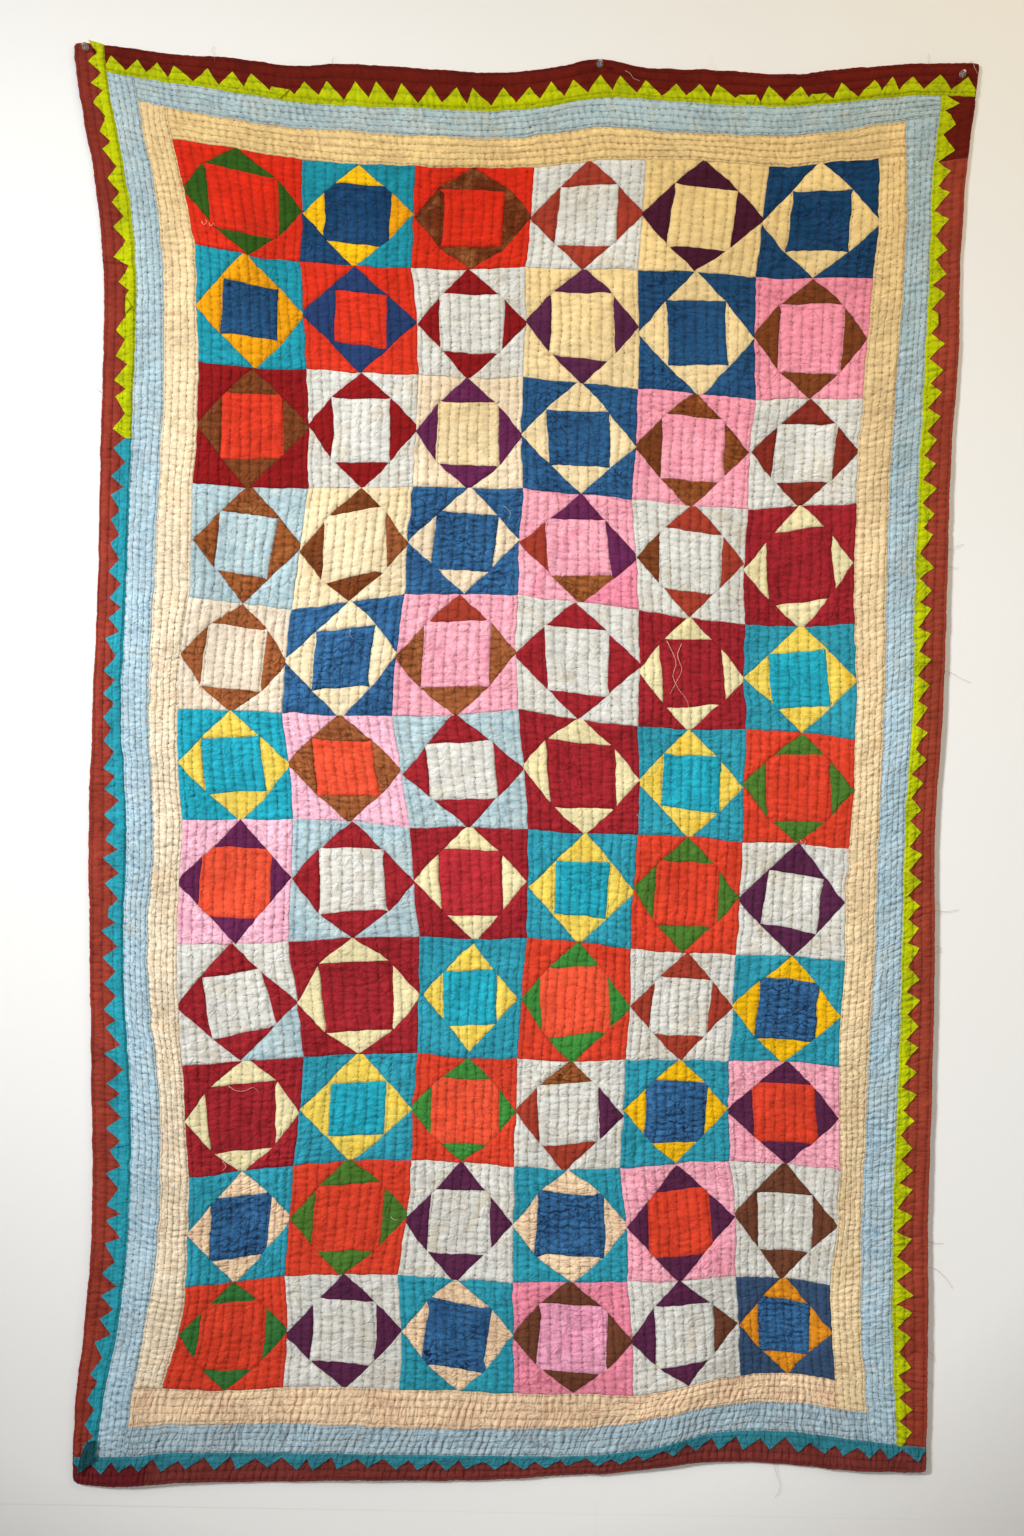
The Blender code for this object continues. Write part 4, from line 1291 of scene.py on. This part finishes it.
def border_strip(strip):
    """A border piece: a fine grid with its quilting; at the quilt's edge it rolls round to the back."""
    radius = sized("cloth") / 2
    roll = math.pi * radius
    outer = [
        (strip.left == 0, 0, -1),
        (strip.right == WIDE, 0, 1),
        (strip.top == 0, 1, -1),
        (strip.bottom == TALL, 1, 1),
    ]
    left, right = strip.left - roll * outer[0][0], strip.right + roll * outer[1][0]
    top, bottom = strip.top - roll * outer[2][0], strip.bottom + roll * outer[3][0]
    bm = flat_grid(left, top, right, bottom, sized("mesh_step"))
    for at_edge, axis, way in outer:
        if at_edge:
            edge = 0 if way < 0 else (WIDE, TALL)[axis]
            for k in range(5):
                place = edge + way * k * roll / 5
                cut(bm, (place, 0) if axis == 0 else (0, place), (1 - axis, axis))
    mesh = trimmed(strip.name, bm, 0.15)
    across, down = points_of(mesh)[:, :2].T

    far = np.full_like(across, 1e3)
    seam = np.minimum.reduce([
        across - strip.left if strip.left > 0 else far,
        strip.right - across if strip.right < WIDE else far,
        down - strip.top if strip.top > 0 else far,
        strip.bottom - down if strip.bottom < TALL else far,
    ])
    flat_a, flat_d, turned_by, out_x, out_z = edge_roll(across, down, radius)
    edge = from_edge(across, down)
    rise, row, stitch = relief(flat_a, flat_d, np.abs(seam), strip_quilting(strip))
    rise = rise * (0.5 + 0.5 * np.cos(turned_by)) * (0.35 + 0.65 * ease(0, 7, edge))
    rise -= 0.5 * (1 - ease(0, 5, edge)) * (turned_by == 0)
    hang_mesh(mesh, flat_a, flat_d, rise, row, stitch, rise, np.abs(seam))
    co = points_of(mesh)
    tuck = 0.5 + 0.5 * np.cos(2 * np.pi * rib_phase(flat_a, flat_d, stitch))
    scallop = 0.9 * (1 - ease(0, 8, edge)) * (tuck - 0.6) * (0.5 + 0.5 * uneven(flat_a / 30, flat_d / 30, 51))
    sign_x = np.where(across > WIDE / 2, 1, -1) * (np.minimum(across, WIDE - across) <= edge + 1e-6)
    sign_z = np.where(down < TALL / 2, 1, -1) * (np.minimum(down, TALL - down) <= edge + 1e-6)
    co[:, 0] += (out_x + sign_x * scallop) * MM
    co[:, 2] += (out_z + sign_z * scallop) * MM
    co[:, 1] += radius * (1 - np.cos(turned_by)) * MM
    mesh.vertices.foreach_set("co", co.ravel())
    mesh.update()
    mesh.materials.append(cotton(strip.dye))
    return mesh


class SewBorders(bpy.types.Operator):
    """Sews the cream, light blue and maroon strips round the patchwork"""

    bl_idname = "quilt.sew_borders"
    bl_label = "Sew the borders"

    def execute(self, context):
        pinned = {
            "maroon_border_left_upper": ["pin_needle_left"],
            "maroon_border_top": ["pin_needle_middle", "pin_needle_right"],
        }
        for strip in STRIPS:
            border = BORDER_KINDS[strip.name.split("_")[0]]
            slot = "dark maroon cotton" if strip.dye == "damson" else border.slot
            piece = fit_out(placed(f"{strip.name}_cloth", border_strip(strip)), slot, strip.name)
            flat = ((strip.right - strip.left) * MM, (strip.bottom - strip.top) * MM)
            held_by = pinned.get(strip.name, [])
            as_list(held_by)
        return {"FINISHED"}


# Sawtooth strips


def side_quilting(side):
    """The quilting of the maroon border on that side, which its sawtooth strip is sewn through with."""
    return next(strip_quilting(strip) for strip in STRIPS if strip.name.startswith(f"maroon_border_{side}"))


def sawtooth_parts(strip):
    """Each tooth with its part of the band, flat along and off the seam, and how far off it lies flat."""
    stray = np.random.default_rng(300 + SAWTEETH.index(strip))
    valleys = strip.band * (1 + 0.4 * stray.uniform(-1, 1, strip.teeth + 1))
    leans = 0.2 * stray.uniform(-1, 1, strip.teeth)
    reaches = strip.reach * (1 + 0.09 * stray.uniform(-1, 1, strip.teeth))
    pitch = (strip.end - strip.start) / strip.teeth
    for k in range(strip.teeth):
        start, end = strip.start + k * pitch, strip.start + (k + 1) * pitch
        tip = (start + (0.5 + leans[k]) * pitch, reaches[k])
        bm = flat_grid(start, -1, end, reaches[k], 3.6)
        for near, way in (((start, valleys[k]), 1), ((end, valleys[k + 1]), -1)):
            along = (Vector(tip) - Vector(near)).normalized()
            cut(bm, near, (-along.y * way, along.x * way), clear_outer=True)
        fold, blunt = reaches[k], (strip.name, k) == BLUNT_TOOTH
        if k in LOOSE_TEETH.get(strip.name, {}):
            fold *= LOOSE_TEETH[strip.name][k]
            cut(bm, (0, fold), (0, 1), clear_outer=blunt)
            if not blunt:
                cut(bm, (0, fold + 0.6), (0, 1))
        if strip.start < 0:
            cut(bm, (-1.5, 0), (-0.97, -0.24), clear_outer=True)
        if bm.faces:
            yield bm, fold


def applique_cloth(name, flats, seam, side, quilting, colour):
    """A sewn-on strip from its flat parts: both layers of its turned cloth, hung on the maroon border."""
    thick = sized("applique")
    whole = bmesh.new()
    for bm, fold in flats:
        for v in bmesh.ops.extrude_face_region(bm, geom=bm.faces[:])["geom"]:
            if isinstance(v, bmesh.types.BMVert):
                v.co.z += 1
        for v in bm.verts:
            if v.co.y > fold + 1e-4:
                v.co.z = 2.6 - v.co.z
                v.co.y = fold - 0.9 * (v.co.y - fold)
        part = mesh_of("part", bm)
        whole.from_mesh(part)
        bpy.data.meshes.remove(part)
    bmesh.ops.remove_doubles(whole, verts=whole.verts[:], dist=0.01)
    bmesh.ops.recalc_face_normals(whole, faces=whole.faces[:])
    mesh = mesh_of(name, whole)
    along, off, layer = points_of(mesh).T
    place = seam + side * off
    across, down = (place, along) if quilting.upright else (along, place)
    inner_a, inner_d = np.clip(across, 0, WIDE), np.clip(down, 0, TALL)
    rise, row, stitch = relief(inner_a, inner_d, np.abs(off) + 1.0, quilting)
    rise = rise * (0.35 + 0.65 * ease(0, 7, from_edge(inner_a, inner_d)))
    tucked = ease(-1, 1.5, off)
    lift = tucked * (0.35 + rise + thick * layer + 0.35 * (layer > 1.2)) - 0.9 * (1 - tucked)
    hang_mesh(mesh, across, down, lift, row, stitch, rise, np.full_like(rise, 12))
    mesh.set_sharp_from_angle(angle=math.radians(50))
    mesh.materials.append(cotton(colour))
    return mesh


def folded_end_mesh():
    """The end of the strip turned over into a leaf, which stands off along its fold."""
    bm = bmesh.new()
    bm.faces.new([bm.verts.new((down, A[1] - across, 0)) for across, down in FOLDED_END])
    for k in range(1, 26):
        cut(bm, (2000 + 2.6 * k, 0), (1, 0))
        cut(bm, (0, 2.6 * k), (0, 1))
    top, tip = (Vector((FOLDED_END[k][1], A[1] - FOLDED_END[k][0], 0)) for k in (0, 3))
    along = (tip - top).normalized()
    for v in bm.verts:
        inward = along.cross(v.co - top).z
        v.co.z = 2.2 + 2.6 * math.exp(-(((abs(inward) - 3) / 4) ** 2)) + 0.12 * abs(inward)
    return applique_cloth("sawtooth folded end", [(bm, 1e3)], A[1], -1, side_quilting("left"), "deep_teal")


class SewSawteeth(bpy.types.Operator):
    """Sews the sawtooth strips on the maroon border, and the folded end at the bottom left corner"""

    bl_idname = "quilt.sew_sawteeth"
    bl_label = "Sew the sawtooth strips"

    def execute(self, context):
        seams = {"left": A[1], "right": A[6], "top": D[1], "bottom": D[6]}
        for strip in SAWTEETH:
            name, parts, quilting = f"sawtooth {strip.name}", sawtooth_parts(strip), side_quilting(strip.seam)
            mesh = applique_cloth(name, parts, seams[strip.seam], strip.side, quilting, strip.dye)
            slot = "lime cotton" if strip.dye == "lime" else "teal cotton"
            piece = fit_out(placed(f"sawtooth_{strip.name}_cloth", mesh), slot, f"sawtooth_{strip.name}")
            run = strip.end - strip.start
            area = run * (strip.band + strip.reach) / 2
            flat = (run * MM, strip.reach * MM)
            min(area, run * strip.reach) * MM * MM
        piece = placed("sawtooth_folded_end_cloth", folded_end_mesh())
        fit_out(piece, "teal cotton", "sawtooth_folded_end")
        return {"FINISHED"}


# Stitches and loose strands


def copies(name, template, places):
    """A mesh of many copies of a template mesh: places holds each copy's own vertex places."""
    count, each = places.shape[:2]
    faces = np.array([list(p.vertices) for p in template.polygons])
    every = (faces[None] + each * np.arange(count)[:, None, None]).reshape(-1, faces.shape[1])
    mesh = bpy.data.meshes.new(name)
    mesh.from_pydata(places.reshape(-1, 3), [], every.tolist())
    mesh.shade_smooth()
    mesh.update()
    return mesh


def stitch_template():
    """One stitch: x runs along it from 0 to 1, y is from -1 to 1 and z is how far the thread stands up."""
    bm = bmesh.new()
    bmesh.ops.create_grid(bm, x_segments=2, y_segments=2, size=1)
    for v in bm.verts:
        middle, centre = 1 - abs(v.co.x), 1 - abs(v.co.y)
        v.co.y *= 0.55 + 0.45 * middle
        v.co.z = (0.25 + 0.75 * middle) * (0.2 + 0.8 * centre)
        v.co.x = 0.5 + 0.5 * v.co.x
    return mesh_of("stitch", bm)


def on_surface(places, objects):
    """Each place moved along Y to the first of these objects' surfaces, or None where it misses them."""
    found = []
    ahead = Vector((0, 1, 0))
    for x, _, z in places:
        hits = [o.ray_cast(Vector((x, -1, z)), ahead, distance=1.2) for o in objects]
        hits = [place for hit, place, _, _ in hits if hit]
        found.append(min(hits, key=lambda place: place.y) if hits else None)
    return found


def unit(vectors):
    return vectors / np.linalg.norm(vectors, axis=1)[:, None]


def lay_stitches(name, areas, colour, slot):
    """Lays running stitches on finished pieces: areas pairs each piece's stitch places with its objects."""
    sizes = bpy.context.scene.quilt_sizes
    starts, ends = [], []
    for (start_places, end_places), objects in areas:
        first = on_surface(hang(*start_places, 0), objects)
        last = on_surface(hang(*end_places, 0), objects)
        for a, b in zip(first, last):
            if a is not None and b is not None and (b - a).length < 2.2 * sizes.stitch_length:
                starts.append(a)
                ends.append(b)
    start, end = np.array(starts), np.array(ends)
    template = stitch_template()
    t, w, h = points_of(template).T
    along = end - start
    out = np.array([0.0, -1.0, 0.0])
    side = unit(np.cross(along, out))
    places = start[:, None] + along[:, None] * t[None, :, None]
    places = places + side[:, None] * (w * sizes.stitch_width / 2)[None, :, None]
    places = places + out * ((h * 0.55 - 0.12) * MM)[None, :, None]
    mesh = copies(f"{name} stitches", template, places)
    bpy.data.meshes.remove(template)
    mesh.materials.append(thread_material(colour.replace("_", " "), colour))
    fit_out(placed(f"{name}_stitches", mesh), slot)


class RunStitches(bpy.types.Operator):
    """Quilts the layers together with rows of running stitches"""

    bl_idname = "quilt.run_stitches"
    bl_label = "Run the quilting stitches"

    def execute(self, context):
        find = bpy.data.objects.get
        areas = []
        for row in range(ROWS):
            top = D[3] + row * BLOCK_TALL
            places = stitch_places(field_quilting(), A[3], top, A[4], top + BLOCK_TALL)
            areas.append((places, [find(f"patchwork_row_{row + 1:02d}")]))
        lay_stitches("field", areas, "thread", "patchwork cotton")
        sawteeth = [
            o
            for o in bpy.data.objects
            if o.name.startswith("sawtooth_") and o.name.endswith("_cloth")
        ]
        for name, border in BORDER_KINDS.items():
            areas = []
            for strip in STRIPS:
                if strip.name.startswith(name):
                    objects = [find(f"{strip.name}_cloth")] + (sawteeth if name == "maroon" else [])
                    places = stitch_places(strip_quilting(strip), *strip[1:5])
                    areas.append((places, objects))
            lay_stitches(name, areas, border.thread, border.slot)
        return {"FINISHED"}


STRAND_CUTS = 14  # short lengths in each strand


def strand_template():
    """One strand: x runs along it from 0 to 1, and y and z go round it."""
    bm = bmesh.new()
    bmesh.ops.create_cone(bm, cap_ends=True, segments=5, radius1=1, radius2=0.5, depth=1)
    long_edges = [e for e in bm.edges if abs(e.verts[0].co.z - e.verts[1].co.z) > 0.5]
    bmesh.ops.subdivide_edges(bm, edges=long_edges, cuts=STRAND_CUTS - 1)
    bmesh.ops.triangulate(bm, faces=bm.faces[:])
    bmesh.ops.translate(bm, vec=(0, 0, 0.5), verts=bm.verts[:])
    bmesh.ops.rotate(bm, cent=(0, 0, 0), matrix=Matrix.Rotation(math.pi / 2, 3, "Y"), verts=bm.verts[:])
    return mesh_of("strand", bm)


def strand_line(way, cloth):
    """A strand's way laid on the cloth, in metres: it hangs clear of hollows and stands off in its middle."""
    run = smooth_table([(k, *point) for k, point in enumerate(way)])
    x, z = run(np.linspace(0, len(way) - 1, STRAND_CUTS + 1)).T * MM
    found = on_surface(np.stack([x, 0 * x, z], axis=1), cloth)
    y = np.array([-0.6 * MM if place is None else place.y for place in found])
    for _ in range(3):
        y[1:-1] = np.minimum(y[1:-1], (y[:-2] + y[2:]) / 2)
    y -= (0.3 + 1.2 * np.sin(np.pi * np.linspace(0, 1, STRAND_CUTS + 1))) * MM
    return np.stack([x, y, z], axis=1)


class LayStrands(bpy.types.Operator):
    """Lays the loose strands of thread"""

    bl_idname = "quilt.lay_strands"
    bl_label = "Lay the loose strands"

    def execute(self, context):
        cloth = [
            o
            for o in bpy.data.objects
            if o.name.endswith("_cloth") or o.name.startswith("patchwork_row")
        ]
        template = strand_template()
        t, u, v = points_of(template).T
        radius = context.scene.quilt_sizes.strand_width / 2
        names = sorted({name for name, _ in STRANDS})
        places, dyes = [], []
        for name, way in STRANDS:
            line = strand_line(way, cloth)
            along = np.gradient(line, axis=0)
            side = unit(np.cross(along, [0.0, -1.0, 0.0]))
            up = unit(np.cross(side, along))
            k = np.round(t * STRAND_CUTS).astype(int)
            places.append(line[k] + radius * (side[k] * u[:, None] + up[k] * v[:, None]))
            dyes.append(names.index(name))
        mesh = copies("loose strands", template, np.array(places))
        for name in names:
            mesh.materials.append(thread_material(f"{name} strand", name))
        used = np.repeat(dyes, len(template.polygons)).astype(np.int32)
        mesh.polygons.foreach_set("material_index", used)
        bpy.data.meshes.remove(template)
        fit_out(placed("loose_strands", mesh), "maroon cotton")
        return {"FINISHED"}


# Back


class FinishBack(bpy.types.Operator):
    """Lays the plain back of the quilt, dimpled by the same rows of stitches"""

    bl_idname = "quilt.finish_back"
    bl_label = "Finish the back"

    def execute(self, context):
        thick = sized("cloth")
        zones = [
            ("top", D[0], D[3], strip_quilting(STRIPS[1])),
            ("middle", D[3], D[4], field_quilting()),
            ("bottom", D[4], D[7], strip_quilting(STRIPS[3])),
        ]
        parts = []
        for name, top, bottom, quilting in zones:
            mesh = mesh_of(f"back {name}", flat_grid(0, top, WIDE, bottom, sized("back_step")))
            across, down = points_of(mesh)[:, :2].T
            row, stitch = quilting_place(across, down, quilting)
            seam = np.minimum(np.abs(down - D[3]), np.abs(down - D[4]))
            rise = 0.3 * wave(row) * ease(0, 6, from_edge(across, down)) * ease(0, 8, seam) - 0.1
            hang_mesh(mesh, across, down, -thick - rise, row, stitch, rise, np.full_like(rise, 12))
            mesh.materials.append(cotton("backing"))
            parts.append(placed(f"back {name}", mesh))
        piece = fit_out(joined("quilt_back", parts), "cream cotton")
        return {"FINISHED"}


# Pins


class PushPins(bpy.types.Operator):
    """Pushes the three clear pins through the maroon border"""

    bl_idname = "quilt.push_pins"
    bl_label = "Push the pins in"

    def execute(self, context):
        plastic, metal = clear_plastic(), steel()
        for pin in PINS:
            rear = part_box(f"pin_head_{pin.name}")[1].y
            for part, outline, sides, finish, slot, y, turn in (
                ("head", HEAD_OUTLINE, HEAD_SIDES, plastic, "clear plastic", rear, 0),
                ("needle", NEEDLE_OUTLINE, NEEDLE_SIDES, metal, "pin steel", rear + NEEDLE_GAP * MM, math.pi),
            ):
                mesh = turned(f"pin {part} {pin.name}", outline, sides)
                mesh.transform(Matrix.Rotation(turn, 4, "Z"))
                mesh.transform(Matrix.Translation((pin.across * MM, y, pin.height * MM)))
                mesh.shade_smooth()
                mesh.materials.append(finish)
                node = f"pin_{part}_{pin.name}"
                fit_out(placed(f"push_{node}", mesh), slot, node)
        return {"FINISHED"}


# Stage


def light(name, kind, place, target, power, colour, **settings):
    lamp = bpy.data.lights.new(name, kind)
    lamp.energy, lamp.color = power, colour
    for key, value in settings.items():
        setattr(lamp, key, value)
    made = placed(name, lamp)
    made.location = place
    made.rotation_euler = (Vector(target) - Vector(place)).to_track_quat("-Z", "Y").to_euler()


def pane(name, place, target, size, power, colour):
    light(name, "AREA", place, target, power, colour, shape="RECTANGLE", size=size[0], size_y=size[1])


class SetStage(bpy.types.Operator):
    """Sets up the pale wall and floor, the window's light from the left, the other lamps and the camera"""

    bl_idname = "quilt.set_stage"
    bl_label = "Set the stage"

    def execute(self, context):
        scene = context.scene
        for name, place, turn in (("wall", (0, 0.0004, 0.2), math.pi / 2), ("floor", (0, -3.5, -2.42), 0)):
            bm = bmesh.new()
            bmesh.ops.create_grid(bm, x_segments=1, y_segments=1, size=3.5)
            bmesh.ops.rotate(bm, cent=(0, 0, 0), matrix=Matrix.Rotation(turn, 3, "X"), verts=bm.verts[:])
            bmesh.ops.translate(bm, vec=place, verts=bm.verts[:])
            mesh = mesh_of(name, bm)
            mesh.materials.append(plaster(name, name == "wall"))
            made = placed(name, mesh)
            made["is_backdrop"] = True
            if name == "wall":
                made.visible_diffuse = made.visible_shadow = False
        pane("room", (1.7, -2.0, 2.0), (0.0, 0, -0.1), (3.0, 2.0), 50, (1.0, 0.92, 0.69))
        pane("warm corner", (1.3, -1.0, 0.8), (0.6, 0, 0.05), (0.6, 0.6), 5.5, (1.0, 0.6, 0.14))
        pane("behind", (1.0, 2.5, 0.5), (-0.1, 0, -1.0), (2.0, 2.0), 75, (1.0, 0.98, 0.95))
        light(
            "window",
            "SPOT",
            (-6.2, -4.4, 2.2),
            (-0.5, 0, -0.96),
            3920,
            (0.985, 0.99, 1.0),
            shadow_soft_size=0.8,
            spot_size=math.radians(24),
            spot_blend=1.0,
        )
        world = bpy.data.worlds.new("pale room")
        scene.world = world
        world.use_nodes = True
        sky = world.node_tree.nodes["Background"].inputs
        sky["Color"].default_value = (0.96, 0.97, 1.0, 1)
        sky["Strength"].default_value = 0.27
        scene.view_settings.view_transform = "Standard"
        set_camera(scene)
        return {"FINISHED"}


def set_camera(scene):
    """Square on to the quilt, as far off as a person would stand, with the whole of it in view."""
    lens = bpy.data.cameras.new("camera")
    distance, tall = 3.3, 2.258
    lens.sensor_width = 36
    lens.lens = lens.sensor_width * distance / tall
    scene.camera = placed("camera", lens)
    scene.camera.location = (-0.129, -distance, -1.033)
    scene.camera.rotation_euler = (math.pi / 2, 0, 0)


# Panel


class QUILT_PT_panel(bpy.types.Panel):
    bl_idname = "QUILT_PT_panel"
    bl_label = "Ralli quilt"
    bl_space_type = "VIEW_3D"
    bl_region_type = "UI"
    bl_category = "Ralli quilt"

    def draw(self, context):
        for group in (context.scene.quilt_sizes, context.scene.quilt_colours):
            for name in group.__annotations__:
                self.layout.prop(group, name)
        for operator in OPERATORS:
            self.layout.operator(operator.bl_idname)


OPERATORS = (SewPatchwork, SewBorders, SewSawteeth, RunStitches, LayStrands, FinishBack, PushPins, SetStage)
CLASSES = (QuiltSizes, QuiltColours, *OPERATORS, QUILT_PT_panel)


def register():
    for one in CLASSES:
        bpy.utils.register_class(one)
    bpy.types.Scene.quilt_sizes = PointerProperty(type=QuiltSizes)
    bpy.types.Scene.quilt_colours = PointerProperty(type=QuiltColours)


def unregister():
    del bpy.types.Scene.quilt_sizes
    del bpy.types.Scene.quilt_colours
    for one in reversed(CLASSES):
        bpy.utils.unregister_class(one)


def main():
    register()
    bpy.ops.quilt.sew_patchwork()
    bpy.ops.quilt.sew_borders()
    bpy.ops.quilt.sew_sawteeth()
    bpy.ops.quilt.run_stitches()
    bpy.ops.quilt.lay_strands()
    bpy.ops.quilt.finish_back()
    bpy.ops.quilt.push_pins()
    bpy.ops.quilt.set_stage()
    boxes = [[list(corner) for corner in box] for box in (CAD_BOX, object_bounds())]


if __name__ == "__main__":
    main()
